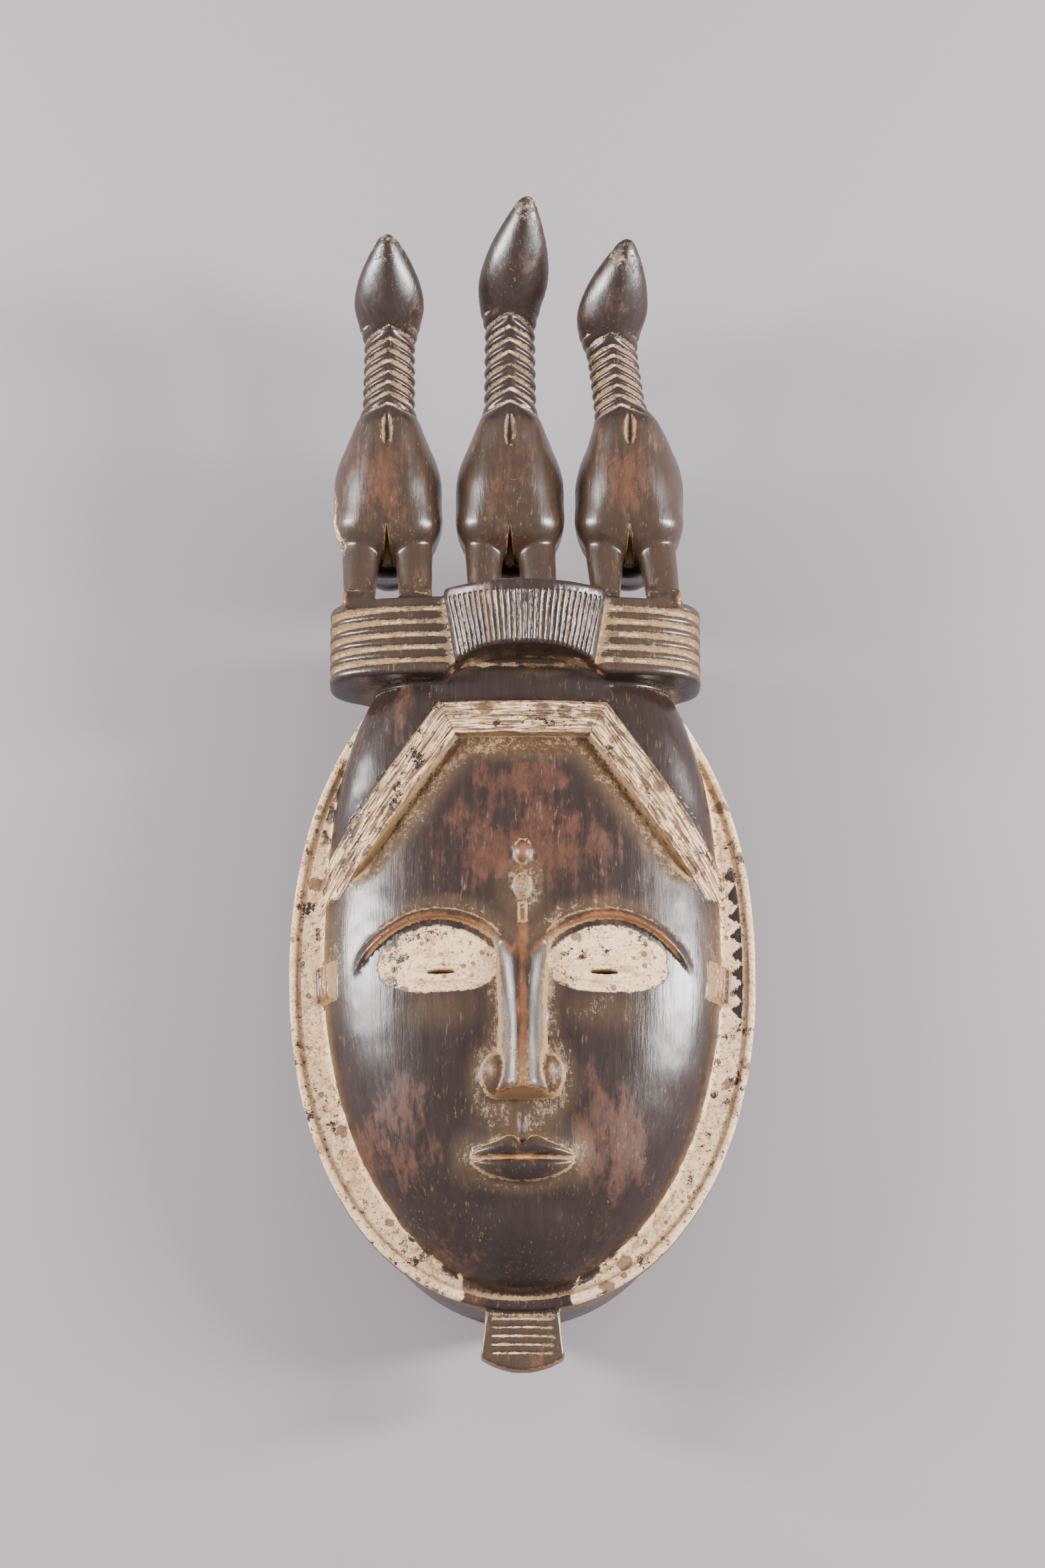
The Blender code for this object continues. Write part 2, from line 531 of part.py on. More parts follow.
def tetra_triangles(tetra, inside, odd):
    """Edge pairs of the triangles that part the inner from the outer corners of each tetrahedron."""
    state = sum(inside[tetra[:, i]].astype(int) << i for i in range(4))
    even_faces = {
        1: (((0, 1), (0, 2), (0, 3)),),
        2: (((1, 0), (1, 3), (1, 2)),),
        4: (((2, 0), (2, 1), (2, 3)),),
        8: (((3, 0), (3, 2), (3, 1)),),
        3: (((0, 3), (1, 3), (1, 2)), ((0, 3), (1, 2), (0, 2))),
        5: (((0, 1), (2, 1), (2, 3)), ((0, 1), (2, 3), (0, 3))),
        9: (((0, 2), (3, 2), (3, 1)), ((0, 2), (3, 1), (0, 1))),
    }
    found = []
    for bits, faces in even_faces.items():
        for code, flip in ((bits, False), (15 - bits, True)):
            chosen = tetra[state == code]
            for face in faces:
                ordered = face if flip == odd else face[::-1]
                found.append(np.stack([chosen[:, list(pair)] for pair in ordered], axis=1))
    return found


def toward_skin(points, inward):
    """Points of the skin met by going inward from points outside it, and the skin's normals there."""
    far = np.full(len(points), SEARCH_REACH)
    for share in np.linspace(0.0, 1.0, SEARCH_STEPS)[::-1]:
        place = points + inward * (share * SEARCH_REACH)
        far = np.where(mask_field(*place.T) < 0.0, share * SEARCH_REACH, far)
    near = far - SEARCH_REACH / (SEARCH_STEPS - 1)
    for _ in range(14):
        middle = 0.5 * (near + far)
        within = mask_field(*(points + inward * middle[:, None]).T) < 0.0
        far = np.where(within, middle, far)
        near = np.where(within, near, middle)
    found = points + inward * far[:, None]
    probe = 0.0004
    normals = np.stack([
        mask_field(*(found + probe * step).T) - mask_field(*(found - probe * step).T) for step in np.eye(3)
    ], axis=1)
    return found, normals / np.linalg.norm(normals, axis=1)[:, None]


def gouge_bar(path, normals, half_width, depth):
    """Corners and faces of one closed bar: a V under the skin and straight sides above it."""
    along = np.gradient(path, axis=0)
    across = np.cross(along, normals)
    across /= np.linalg.norm(across, axis=1)[:, None]
    shoulder = 0.12 * depth * normals
    lift = 2.6 * depth * normals
    rings = [
        path - depth * normals,
        path + half_width * across + shoulder,
        path + half_width * across + lift,
        path - half_width * across + lift,
        path - half_width * across + shoulder,
    ]
    corners = np.stack(rings, axis=1).reshape(-1, 3)
    faces = [(0, 1, 2, 3, 4)]
    for i in range(len(path) - 1):
        for j in range(5):
            k = (j + 1) % 5
            faces.append((5 * i + j, 5 * i + 5 + j, 5 * i + 5 + k, 5 * i + k))
    last = 5 * (len(path) - 1)
    faces.append(tuple(last + j for j in reversed(range(5))))
    return corners, faces


def gouge(name, bars, half_width, depth):
    """Cutter object made of one bar for each path."""
    corners = []
    faces = []
    for path, normals in bars:
        bar_corners, bar_faces = gouge_bar(path, normals, half_width, depth)
        first = len(corners)
        corners.extend(bar_corners.tolist())
        faces.extend([tuple(first + index for index in face) for face in bar_faces])
    mesh = bpy.data.meshes.new(name)
    mesh.from_pydata(corners, [], faces)
    cutter = bpy.data.objects.new(name, mesh)
    bpy.context.collection.objects.link(cutter)
    cutter.hide_render = True
    cutter.display_type = "WIRE"
    return cutter


def fan_flutes():
    """Straight flutes down the front of the fan, closer together at its foot."""
    axis_z = FAN_FRONT - FAN_RADIUS
    height = CREST_TOP_Y - CREST_BOTTOM_Y
    levels = np.array([0.30, 0.90])
    half_widths = FAN_BOTTOM_HALF_WIDTH + (FAN_TOP_HALF_WIDTH - FAN_BOTTOM_HALF_WIDTH) * levels
    bars = []
    for i in range(FAN_GROOVES):
        share = (2.0 * i + 1.0) / FAN_GROOVES - 1.0
        turn = share * 0.97 * np.arcsin(half_widths / FAN_RADIUS)
        inward = -np.stack([np.sin(turn), 0.0 * turn, np.cos(turn)], axis=1)
        start = np.array([FAN_CENTRE_X, 0.0, axis_z]) - inward * (FAN_RADIUS + 0.008)
        start[:, 1] = CREST_BOTTOM_Y + levels * height
        found, normals = toward_skin(start, inward)
        run = found[1] - found[0]
        ends = np.stack([found[0] - 0.75 * run, found[1] + FLUTE_REACH * run])
        bars.append((ends, normals))
    return gouge("fan_flutes", bars, 0.30 * 2.0 * FAN_BOTTOM_HALF_WIDTH / FAN_GROOVES, FAN_GROOVE_DEPTH)


def band_grooves():
    """Long grooves that follow the three strips of the hair band."""
    pitch = BAND_WIDTH / (BAND_GROOVES + 1)
    slant = np.array([BAND_END_X - BAND_CORNER_X, BAND_END_Y - BAND_TOP_Y])
    slant /= np.linalg.norm(slant)
    outward = np.array([-slant[1], slant[0]])
    mitre = (1.0 - outward[1]) / outward[0]
    bars = []
    for i in range(BAND_GROOVES):
        offset = (i + 1) * pitch - 0.5 * BAND_WIDTH
        corner = np.array([BAND_CORNER_X + offset * mitre, BAND_TOP_Y + offset])
        end = np.array([BAND_END_X, BAND_END_Y]) + offset * outward - 0.007 * slant
        down = corner + np.linspace(0.0, 1.0, 4)[:, None] * (end - corner)
        over = np.array([[0.0, corner[1]]])
        plan = np.concatenate([down[::-1] * (-1.0, 1.0), over, down])
        start = np.column_stack([plan, np.full(len(plan), FAN_FRONT)])
        bars.append(toward_skin(start, np.tile((0.0, 0.0, -1.0), (len(plan), 1))))
    return gouge("band_grooves", bars, 0.30 * pitch, BAND_GROOVE_DEPTH)


def tab_grooves():
    """Level grooves across the chin tab."""
    top_y = HEAD_CENTRE_Y - COLLAR_BELOW
    pitch = (top_y - TAB_BOTTOM_Y) / (TAB_GROOVES + 1.8)
    bars = []
    for i in range(TAB_GROOVES):
        x = np.linspace(-1.0, 1.0, 2) * (TAB_TOP_HALF_WIDTH - 0.0022)
        start = np.column_stack([x, np.full(2, top_y - (i + 0.9) * pitch), np.full(2, COLLAR_FRONT + 0.01)])
        bars.append(toward_skin(start, np.tile((0.0, 0.0, -1.0), (2, 1))))
    return gouge("tab_grooves", bars, 0.22 * pitch, 0.0007)


def wood_material():
    """Dark oiled wood of the whole carving."""
    material = bpy.data.materials.new("dark_wood")
    material.use_nodes = True
    shader = material.node_tree.nodes["Principled BSDF"]
    shader.inputs["Base Color"].default_value = (0.045, 0.028, 0.022, 1.0)
    shader.inputs["Roughness"].default_value = 0.42
    shader.inputs["Metallic"].default_value = 0.0
    return material


def eye_slit(name, centre_x):
    """Cutter for the slit through one lowered eyelid."""
    _, eye, _, _ = face_levels()
    place = (centre_x, eye - 0.001, 0.07)
    bpy.ops.mesh.primitive_cylinder_add(vertices=16, radius=0.5, depth=1.0, location=place)
    cutter = bpy.context.active_object
    cutter.name = name
    cutter.dimensions = (EYE_SLIT_LENGTH, EYE_SLIT_HEIGHT, 0.06)
    bpy.ops.object.transform_apply(location=False, rotation=False, scale=True)
    cutter.hide_render = True
    cutter.display_type = "WIRE"
    return cutter


def back_plane_cutter():
    """Slab that planes the back rim flat."""
    bpy.ops.mesh.primitive_cube_add(size=1.0, location=(0.0, 0.2, -0.02))
    cutter = bpy.context.active_object
    cutter.name = "back_plane_cutter"
    cutter.dimensions = (0.4, 0.7, 0.04)
    bpy.ops.object.transform_apply(location=False, rotation=False, scale=True)
    cutter.hide_render = True
    cutter.display_type = "WIRE"
    return cutter


def build_mask():
    """One object: the skin, thinned to few triangles, planed at the back and pierced at the eyes."""
    low = (-COLLAR_HALF_WIDTH - 0.006, TAB_BOTTOM_Y - 0.006, -BACK_SPARE - 1.5 * LATTICE_STEP)
    high = (COLLAR_HALF_WIDTH + 0.006, max(bird["tip_y"] for bird in BIRDS) + 0.02, FAN_FRONT + 0.02)
    points, faces = closed_skin(low, high, LATTICE_STEP)
    mesh = bpy.data.meshes.new("mask")
    mesh.from_pydata(points.tolist(), [], faces.tolist())
    mesh.update()
    mask = bpy.data.objects.new("mask", mesh)
    bpy.context.collection.objects.link(mask)
    mesh.materials.append(wood_material())

    thin = mask.modifiers.new("thin", "DECIMATE")
    thin.ratio = SKIN_TRIANGLES / len(faces)
    cutters = [back_plane_cutter()]
    cutters.append(eye_slit("eye_slit_left", -EYE_CENTRE_X))
    cutters.append(eye_slit("eye_slit_right", EYE_CENTRE_X))
    cutters.extend([tab_grooves(), fan_flutes(), band_grooves()])
    for cutter in cutters:
        cut = mask.modifiers.new(cutter.name, "BOOLEAN")
        cut.operation = "DIFFERENCE"
        cut.solver = "EXACT"
        cut.object = cutter
    return mask


def main():
    for item in list(bpy.data.objects):
        bpy.data.objects.remove(item, do_unlink=True)
    build_mask()


main()
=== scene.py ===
"""Looks of a carved yaure mask: one dark wooden carving with whitened band, collar and eyes.

The visible carving is meshed from the same field as the solid, so both have one form. The mesh is
finer where the carving is fine, and cuts under about a millimetre deep are pressed into it. One
layered material takes its kaolin, dirt and wear from values worked out at each point of the mesh.
"""

import math
from concurrent.futures import ThreadPoolExecutor

import bpy
import numpy as np
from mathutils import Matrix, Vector


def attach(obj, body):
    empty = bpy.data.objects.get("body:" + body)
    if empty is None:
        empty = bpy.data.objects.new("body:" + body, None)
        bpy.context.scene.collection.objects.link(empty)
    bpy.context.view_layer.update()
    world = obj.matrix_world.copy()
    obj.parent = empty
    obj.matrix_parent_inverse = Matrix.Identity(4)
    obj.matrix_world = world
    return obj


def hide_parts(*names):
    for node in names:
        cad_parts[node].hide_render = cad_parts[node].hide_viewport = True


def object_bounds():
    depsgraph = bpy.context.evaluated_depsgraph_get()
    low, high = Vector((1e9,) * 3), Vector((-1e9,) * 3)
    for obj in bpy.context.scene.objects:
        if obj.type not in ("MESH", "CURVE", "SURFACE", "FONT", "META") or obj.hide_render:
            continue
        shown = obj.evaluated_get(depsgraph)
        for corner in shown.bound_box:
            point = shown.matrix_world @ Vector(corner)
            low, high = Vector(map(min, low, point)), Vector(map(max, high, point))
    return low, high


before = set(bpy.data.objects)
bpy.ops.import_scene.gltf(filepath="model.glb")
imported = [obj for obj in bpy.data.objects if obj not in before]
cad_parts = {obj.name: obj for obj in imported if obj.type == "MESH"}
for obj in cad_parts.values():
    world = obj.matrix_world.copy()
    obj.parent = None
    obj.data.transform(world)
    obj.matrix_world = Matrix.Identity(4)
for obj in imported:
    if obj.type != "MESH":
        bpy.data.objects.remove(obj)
cad_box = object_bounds()

# Head: plan outlines are egg curves round the head centre, in metres
HEAD_CENTRE_Y = 0.128
COLLAR_HALF_WIDTH = 0.0945
COLLAR_BELOW = 0.1376
COLLAR_ABOVE = 0.141
COLLAR_POWER = 2.15
COLLAR_FRONT = 0.050
COLLAR_THICKNESS = 0.007
COLLAR_OVERHANG = 0.0025
COLLAR_BEAD_WIDTH = 0.0030
COLLAR_BEAD_HEIGHT = 0.0011
COLLAR_GROOVE_WIDTH = 0.0012
RIM_HALF_WIDTH = 0.0835
RIM_BELOW = 0.1365
RIM_ABOVE = 0.133
RIM_WIDTH = 0.0092
HOLLOW_BELOW = 0.1234
FACE_HALF_WIDTH = 0.0812
FACE_BELOW = 0.1312
FACE_ABOVE = 0.150
FACE_POWERS = (2.0, 2.5)
FACE_FRONT = 0.086
DOME_START = 0.042
DOME_POWER = 2.5
FACE_WALL = 0.0115
HOLLOW_POWER = 2.8

# Hair band: three mitred strips across the forehead
BAND_TOP_Y = 0.2272
BAND_CORNER_X = 0.0305
BAND_END_X = 0.0790
BAND_END_Y = 0.1600
BAND_WIDTH = 0.0142
BAND_RAISE = 0.0024
BAND_RECESS = 0.0024
CAP_RAISE = 0.0050

# Face in the traditional manner, laid out by thirds between the hair band and the chin
FACE_BASE_Y = -0.003
FACE_HAIRLINE_Y = 0.217
EYE_CENTRE_X = 0.0325
EYE_SLIT_LENGTH = 0.0115
EYE_SLIT_HEIGHT = 0.0018
NOSE_RAISE = 0.0165
LIP_RAISE = 0.0044
LIP_HALF_LENGTH = 0.0205
TEMPLE_WIDTH = 0.0135
TEMPLE_HEIGHT = 0.0150
TEMPLE_RIDGES = 4

# Chin tab
TAB_TOP_HALF_WIDTH = 0.0147
TAB_BOTTOM_HALF_WIDTH = 0.0175
TAB_BOTTOM_Y = -0.0330
TAB_THICKNESS = 0.0110
TAB_GROOVES = 5

# Crest
CREST_CENTRE_X = -0.003
CREST_BOTTOM_Y = 0.2445
CREST_TOP_Y = 0.2770
LOBE_HALF_SPAN = 0.0760
LOBE_FRONT = 0.0870
LOBE_BACK = 0.0280
LOBE_GROOVES = 5
LOBE_GROOVE_DEPTH = 0.0010
LOBE_POWER = 3.2
FAN_CENTRE_X = 0.0010
FAN_TOP_HALF_WIDTH = 0.0330
FAN_BOTTOM_HALF_WIDTH = 0.0277
FAN_FRONT = 0.1050
FAN_RADIUS = 0.0460
FAN_TAPER = 0.0030
FAN_ARCH = 0.0085
FAN_GROOVES = 27

# Birds: places across the mask of feet, body, neck base, neck top and tip; y of neck top and tip
BIRDS = (
    {"foot": -0.0550, "body": -0.0555, "base": -0.0552, "neck": -0.0548,
     "tip": -0.0555, "neck_y": 0.3990, "tip_y": 0.4202},
    {"foot": -0.0040, "body": -0.0052, "base": -0.0051, "neck": -0.0053,
     "tip": 0.0020, "neck_y": 0.4060, "tip_y": 0.4343},
    {"foot": 0.0465, "body": 0.0440, "base": 0.0412, "neck": 0.0355,
     "tip": 0.0430, "neck_y": 0.3950, "tip_y": 0.4176},
)
BODY_RADIUS = 0.0224
BODY_Y = 0.3170
BODY_Z = 0.0620
BREAST_Y = 0.3530
BREAST_Z = 0.0740
NECK_RADIUS = 0.0104
NECK_RINGS = 10
NECK_POWER = 1.65
NECK_RING_DEPTH = 0.0013
HEAD_HALF_WIDTH = 0.0144
HEAD_WIDEST = 0.30
HEAD_DEPTH_SHARE = 0.78
HEAD_POWER = 1.5
HEAD_TILT_DEG = 42.0
LEG_SPREAD = 0.0112
LEG_RADIUS = 0.0068
LEG_GAP = 0.0090
FOOT_HEIGHT = 0.0045
NOTCH_HALF_WIDTH = 0.0023
NOTCH_HALF_LENGTH = 0.0078
NOTCH_DEPTH = 0.0024
TAIL_Y = 0.3060
TAIL_Z = 0.0390
TAIL_RADIUS = 0.0122

# Search limits of the field
NEAR_REACH = 0.010
FAR_OFF = 0.100
EDGE_ROUND = 0.0020

# Net of the visible carving, in metres
NET_STEP = 0.0011
NET_BLOCK = 6
NET_MARGIN = 0.004
NET_SLIT_HEIGHT = 0.0032
NET_TRIANGLES = 66000
PROBE_REACH = 0.00015
PROBE_DIRECTIONS = np.array([(1, 1, 1), (1, -1, -1), (-1, 1, -1), (-1, -1, 1)]) / math.sqrt(3.0)
SETTLE_LIMIT = 0.0012
REFINE_ROUNDS = 9
EDGE_PLAIN = 0.0200
EDGE_FACE = 0.0028
EDGE_FEATURES = 0.0014
EDGE_COLLAR = 0.0014
EDGE_BAND = 0.00062
EDGE_LOBES = 0.0013
EDGE_FAN = 0.00062
EDGE_NECK = 0.0010
EDGE_BIRDS = 0.0022
EDGE_TAB = 0.0009
CARVING_TRIANGLES = 118000
PAINT_EDGE_CREST = 0.0056
PAINT_EDGE_FACE = 0.0036
PAINT_EDGE_COLLAR = 0.0022
PAINT_EDGE_EYES = 0.0022

# Fine cuts pressed into the net
FAN_CUT_DEPTH = 0.0009
FAN_RIM = 0.0028
BAND_CUT_DEPTH = 0.00065
FINE_BAND_GROOVES = 9
ZIGZAG_CUT_DEPTH = 0.00035
ZIGZAG_PITCH = 0.0105
ZIGZAG_START = 0.0050
ZIGZAG_HEIGHT = 0.0052
ZIGZAG_HALF_WIDTH = 0.00060
TAB_CUT_DEPTH = 0.0007
SCORE_DEPTH = 0.0005
CRACK_DEPTH = 0.0006
TEMPLE_CUT_DEPTH = 0.0004
KAOLIN_CAP = 0.0011

# Viewpoint of the photograph: its frame in pixels, and the scale at the aim point
PHOTO_HEIGHT_PX = 2352
METRES_PER_PX = 0.190 / 698.0
CAMERA_AIM = (0.0, 0.206, 0.055)
CAMERA_DISTANCE = 2.0
CAMERA_TILT_DEG = 15.0
SENSOR_WIDTH_MM = 36.0

# Lights, the surround and the floor
LEFT_BOX_PLACE = (-1.15, 0.40, 0.56)
LEFT_BOX_WATTS = 40.0
RIGHT_BOX_PLACE = (1.20, 0.30, 0.62)
RIGHT_BOX_WATTS = 52.0
BOX_SIZE = (0.18, 0.7)
BOX_TINT = (1.0, 0.98, 0.98)
SURROUND_TINT = (0.84, 0.81, 0.80, 1.0)
SURROUND_STRENGTH = 0.96
FLOOR_SHADE = (150, 145, 150)
FLOOR_ROUGHNESS = 0.9
FLOOR_SIZE = 8.0
FLOOR_GAP = 0.0002


def blend(first, second, radius):
    """Union of two fields with a fillet of the given radius."""
    share = np.clip(0.5 + 0.5 * (second - first) / radius, 0.0, 1.0)
    return second + (first - second) * share - radius * share * (1.0 - share)


def overlap(first, second, radius):
    """Common part of two fields with a rounded edge."""
    return -blend(-first, -second, radius)


def bump(distance, width):
    """1 at distance 0, falling smoothly to 0 at the given width."""
    share = np.clip(1.0 - (distance / width) ** 2, 0.0, 1.0)
    return share * share


def plateau(distance, half_width, edge):
    """1 where the distance is under the half width, 0 beyond it, with a smooth edge."""
    share = np.clip((half_width - distance) / edge + 0.5, 0.0, 1.0)
    return share * share * (3.0 - 2.0 * share)


def egg(x, y, half_width, below, above, powers=(COLLAR_POWER, COLLAR_POWER)):
    """Radius ratio in an egg curve round the head centre: 1 on the curve. One power for each half."""
    rise = y - HEAD_CENTRE_Y
    span = np.where(rise < 0.0, below, above)
    power = np.where(rise < 0.0, powers[0], powers[1])
    across = np.abs(x) / half_width
    along = np.abs(rise) / span
    return (across ** power + along ** power) ** (1.0 / power)


def limb(x, y, z, start, end, start_radius, end_radius):
    """Tapered round limb between two points."""
    axis = np.subtract(end, start)
    length_squared = float(axis @ axis)
    along = ((x - start[0]) * axis[0] + (y - start[1]) * axis[1] + (z - start[2]) * axis[2]) / length_squared
    along = np.clip(along, 0.0, 1.0)
    gap = np.sqrt(
        (x - start[0] - along * axis[0]) ** 2
        + (y - start[1] - along * axis[1]) ** 2
        + (z - start[2] - along * axis[2]) ** 2
    )
    return gap - start_radius - (end_radius - start_radius) * along


def face_levels():
    """Heights of brow, eye, nose base and mouth from the thirds of the face."""
    third = (FACE_HAIRLINE_Y - FACE_BASE_Y) / 3.0
    brow = FACE_HAIRLINE_Y - third
    nose_base = FACE_BASE_Y + third
    eye = brow - 0.30 * third
    mouth = nose_base - third / 3.0
    return brow, eye, nose_base, mouth


def band_signed(x, y):
    """Distance outward across the hair band from its centre line, negative on the forehead side."""
    side = np.abs(x)
    slant_x = BAND_END_X - BAND_CORNER_X
    slant_y = BAND_END_Y - BAND_TOP_Y
    slant = math.hypot(slant_x, slant_y)
    over_top = y - BAND_TOP_Y
    over_slant = (side - BAND_CORNER_X) * (-slant_y) / slant + (y - BAND_TOP_Y) * slant_x / slant
    return np.maximum(over_top, over_slant)


def brow_distance(x, y):
    """Distance above the brow line: an arch over each eye that runs down into the nose."""
    brow, eye, _, _ = face_levels()
    side = np.abs(x)
    inner = np.clip(1.0 - side / (1.1 * EYE_CENTRE_X), 0.0, 1.0)
    outer = np.clip((side - 1.1 * EYE_CENTRE_X) / (0.95 * EYE_CENTRE_X), 0.0, 1.2)
    arch = brow - (brow - eye) * (0.95 * inner ** 2.2 + 0.80 * outer ** 2)
    slope = 1.0 + (1.35 * inner) ** 2 + (1.05 * outer) ** 2
    return (y - arch) / np.sqrt(slope)


def eye_relief(x, y):
    """Hollow under each brow, a lowered lid that swells in it, and the brow ridge."""
    _, eye, _, _ = face_levels()
    side = np.abs(x)
    above_brow = brow_distance(x, y)
    orbit = np.hypot((side - 1.05 * EYE_CENTRE_X) / (0.98 * EYE_CENTRE_X), (y - eye + 0.001) / 0.0240)
    under_brow = plateau(above_brow, -0.0010, 0.0030)
    relief = -0.0048 * plateau(orbit, 0.92, 0.24) * under_brow
    lid = np.hypot((side - 1.03 * EYE_CENTRE_X) / (0.80 * EYE_CENTRE_X), (y - eye) / 0.0145)
    relief += 0.0060 * np.clip(1.0 - lid ** 2, 0.0, 1.0) ** 0.6
    opening = np.hypot((side - EYE_CENTRE_X) / (0.52 * EYE_CENTRE_X), (y - eye + 0.0010) / 0.0034)
    relief += 0.0008 * bump(opening - 1.0, 0.35)
    crease = np.hypot((side - EYE_CENTRE_X) / (0.50 * EYE_CENTRE_X), (y - eye + 0.0010) / 0.0011)
    relief -= 0.0012 * bump(crease, 1.0)
    brow_reach = plateau(side, 2.02 * EYE_CENTRE_X, 0.010)
    relief += 0.0033 * bump(above_brow, 0.0045) * brow_reach
    return relief


def nose_relief(x, y):
    """Slender nose that grows from the meeting of the brows, with two small wings."""
    brow, _, nose_base, _ = face_levels()
    side = np.abs(x)
    up = np.clip((y - nose_base) / (brow - nose_base), 0.0, 1.0)
    rise = NOSE_RAISE * (1.0 - 0.66 * up ** 0.85) * plateau(y - brow + 0.007, 0.0, 0.022)
    foot = plateau(nose_base - y, 0.0, 0.0024)
    half = 0.0125 - 0.0030 * np.sin(math.pi * up ** 0.8)
    shape = np.clip(1.0 - (side / half) ** 2.4, 0.0, 1.0) ** 0.85
    wing = np.hypot((side - 0.0102) / 0.0066, (y - nose_base - 0.0082) / 0.0092)
    wings = 0.0092 * np.clip(1.0 - wing ** 2, 0.0, 1.0) ** 0.6 * foot
    return -blend(-rise * shape * foot, -wings, 0.0016)


def mouth_relief(x, y):
    """Small closed lips on a low mound, and the chin below them."""
    _, _, _, mouth = face_levels()
    side = np.abs(x)
    mound = np.hypot(side / 0.034, (y - mouth) / 0.022)
    relief = 0.0034 * bump(mound, 1.0)
    taper = np.sqrt(np.clip(1.0 - (side / LIP_HALF_LENGTH) ** 2, 0.0, 1.0))
    bow = 0.0009 * (bump(side - 0.0055, 0.006) - bump(side, 0.0035)) * taper
    upper_half = 0.0034 * taper + bow + 0.0003
    upper = (y - mouth - upper_half) / upper_half
    lower_half = 0.0042 * taper ** 1.2 + 0.0003
    lower = (y - mouth + lower_half) / lower_half
    round_upper = np.clip(1.0 - upper ** 2, 0.0, 1.0) ** 0.6
    round_lower = np.clip(1.0 - lower ** 2, 0.0, 1.0) ** 0.6
    relief += LIP_RAISE * np.maximum(0.95 * round_upper, round_lower) * taper ** 0.7
    philtrum = bump(side, 0.0026) * plateau(np.abs(y - mouth - 0.0135), 0.0050, 0.004)
    relief -= 0.0010 * philtrum
    chin = np.hypot(side / 0.026, (y - FACE_BASE_Y - 0.020) / 0.017)
    return relief + 0.0036 * bump(chin, 1.0)


def hair_relief(x, y):
    """Raised hair band with the recess on its forehead side, and the cap of hair outside it."""
    over = band_signed(x, y)
    in_band = plateau(np.abs(over), 0.5 * BAND_WIDTH, 0.0012)
    recess = bump(over + 0.5 * BAND_WIDTH + 0.0012, 0.0085) * plateau(over + 0.5 * BAND_WIDTH, 0.0, 0.0012)
    cap = plateau(-over + 0.5 * BAND_WIDTH, 0.0, 0.0015)
    above_end = plateau(BAND_END_Y + 0.004 - y, 0.0, 0.010)
    swell = CAP_RAISE * plateau(0.5 * BAND_WIDTH + 0.010 - over, 0.0, 0.018)
    return (BAND_RAISE * in_band - BAND_RECESS * recess + (0.45 * BAND_RAISE + swell) * cap) * above_end


def mark_relief(x, y):
    """Raised scars over the nose: two bosses and a bar."""
    brow, _, _, _ = face_levels()
    relief = np.zeros_like(x)
    for height in (0.012, 0.026):
        boss = np.hypot(x / 0.0036, (y - brow - height) / 0.0054)
        relief += 0.0030 * np.clip(1.0 - boss ** 2, 0.0, 1.0) ** 0.6
    bar = np.maximum(np.abs(x) - 0.0014, np.abs(y - brow - 0.001) - 0.0038)
    return relief + 0.0012 * plateau(bar, 0.0, 0.0012)


def temple_block(x, y, z):
    """Height over the side of the face of the ridged scar block at each temple."""
    _, eye, _, _ = face_levels()
    rows = np.abs(y - eye) - 0.5 * TEMPLE_HEIGHT
    reach = np.abs(z - COLLAR_FRONT - 0.5 * TEMPLE_WIDTH - 0.001) - 0.5 * TEMPLE_WIDTH
    block = plateau(np.maximum(rows, reach), 0.0, 0.0012)
    block = block * plateau(0.5 * FACE_HALF_WIDTH - np.abs(x), 0.0, 0.001)
    phase = (z - COLLAR_FRONT) / TEMPLE_WIDTH * TEMPLE_RIDGES
    return block * (0.0019 - 0.0007 * (0.5 - 0.5 * np.cos(2.0 * math.pi * phase)))


def head_field(x, y, z):
    """Oval head: tapered wall, flat collar with its bead, and the carved face."""
    up_wall = np.clip(z / (COLLAR_FRONT - COLLAR_THICKNESS), 0.0, 1.0)
    lip = plateau(COLLAR_FRONT - COLLAR_THICKNESS - z, 0.0, 0.0015)
    under = COLLAR_HALF_WIDTH - COLLAR_OVERHANG
    half_width = RIM_HALF_WIDTH + (under - RIM_HALF_WIDTH) * up_wall + COLLAR_OVERHANG * lip
    below = RIM_BELOW + (COLLAR_BELOW - COLLAR_OVERHANG - RIM_BELOW) * up_wall + COLLAR_OVERHANG * lip
    above = RIM_ABOVE + (COLLAR_ABOVE - COLLAR_OVERHANG - RIM_ABOVE) * up_wall + COLLAR_OVERHANG * lip
    wall = (egg(x, y, half_width, below, above) - 1.0) * half_width

    edge = (1.0 - egg(x, y, COLLAR_HALF_WIDTH, COLLAR_BELOW, COLLAR_ABOVE)) * COLLAR_HALF_WIDTH
    bead = plateau(edge, COLLAR_BEAD_WIDTH, 0.0010)
    groove = bump(edge - COLLAR_BEAD_WIDTH - COLLAR_GROOVE_WIDTH, COLLAR_GROOVE_WIDTH)
    collar_front = COLLAR_FRONT + COLLAR_BEAD_HEIGHT * (bead - 0.6 * groove)
    plate = overlap(wall, z - collar_front, EDGE_ROUND)

    relief = np.maximum(eye_relief(x, y), nose_relief(x, y)) + mouth_relief(x, y)
    relief += hair_relief(x, y) + mark_relief(x, y)
    face_ratio = egg(x, y, FACE_HALF_WIDTH, FACE_BELOW, FACE_ABOVE, FACE_POWERS)
    rise = np.clip(z - relief - DOME_START, 0.0, None) / (FACE_FRONT - DOME_START)
    dome_ratio = (face_ratio ** DOME_POWER + rise ** DOME_POWER) ** (1.0 / DOME_POWER)
    dome = (dome_ratio - 1.0) * 0.6 * FACE_HALF_WIDTH
    dome -= temple_block(x, y, z)
    return blend(plate, dome, 0.0012)


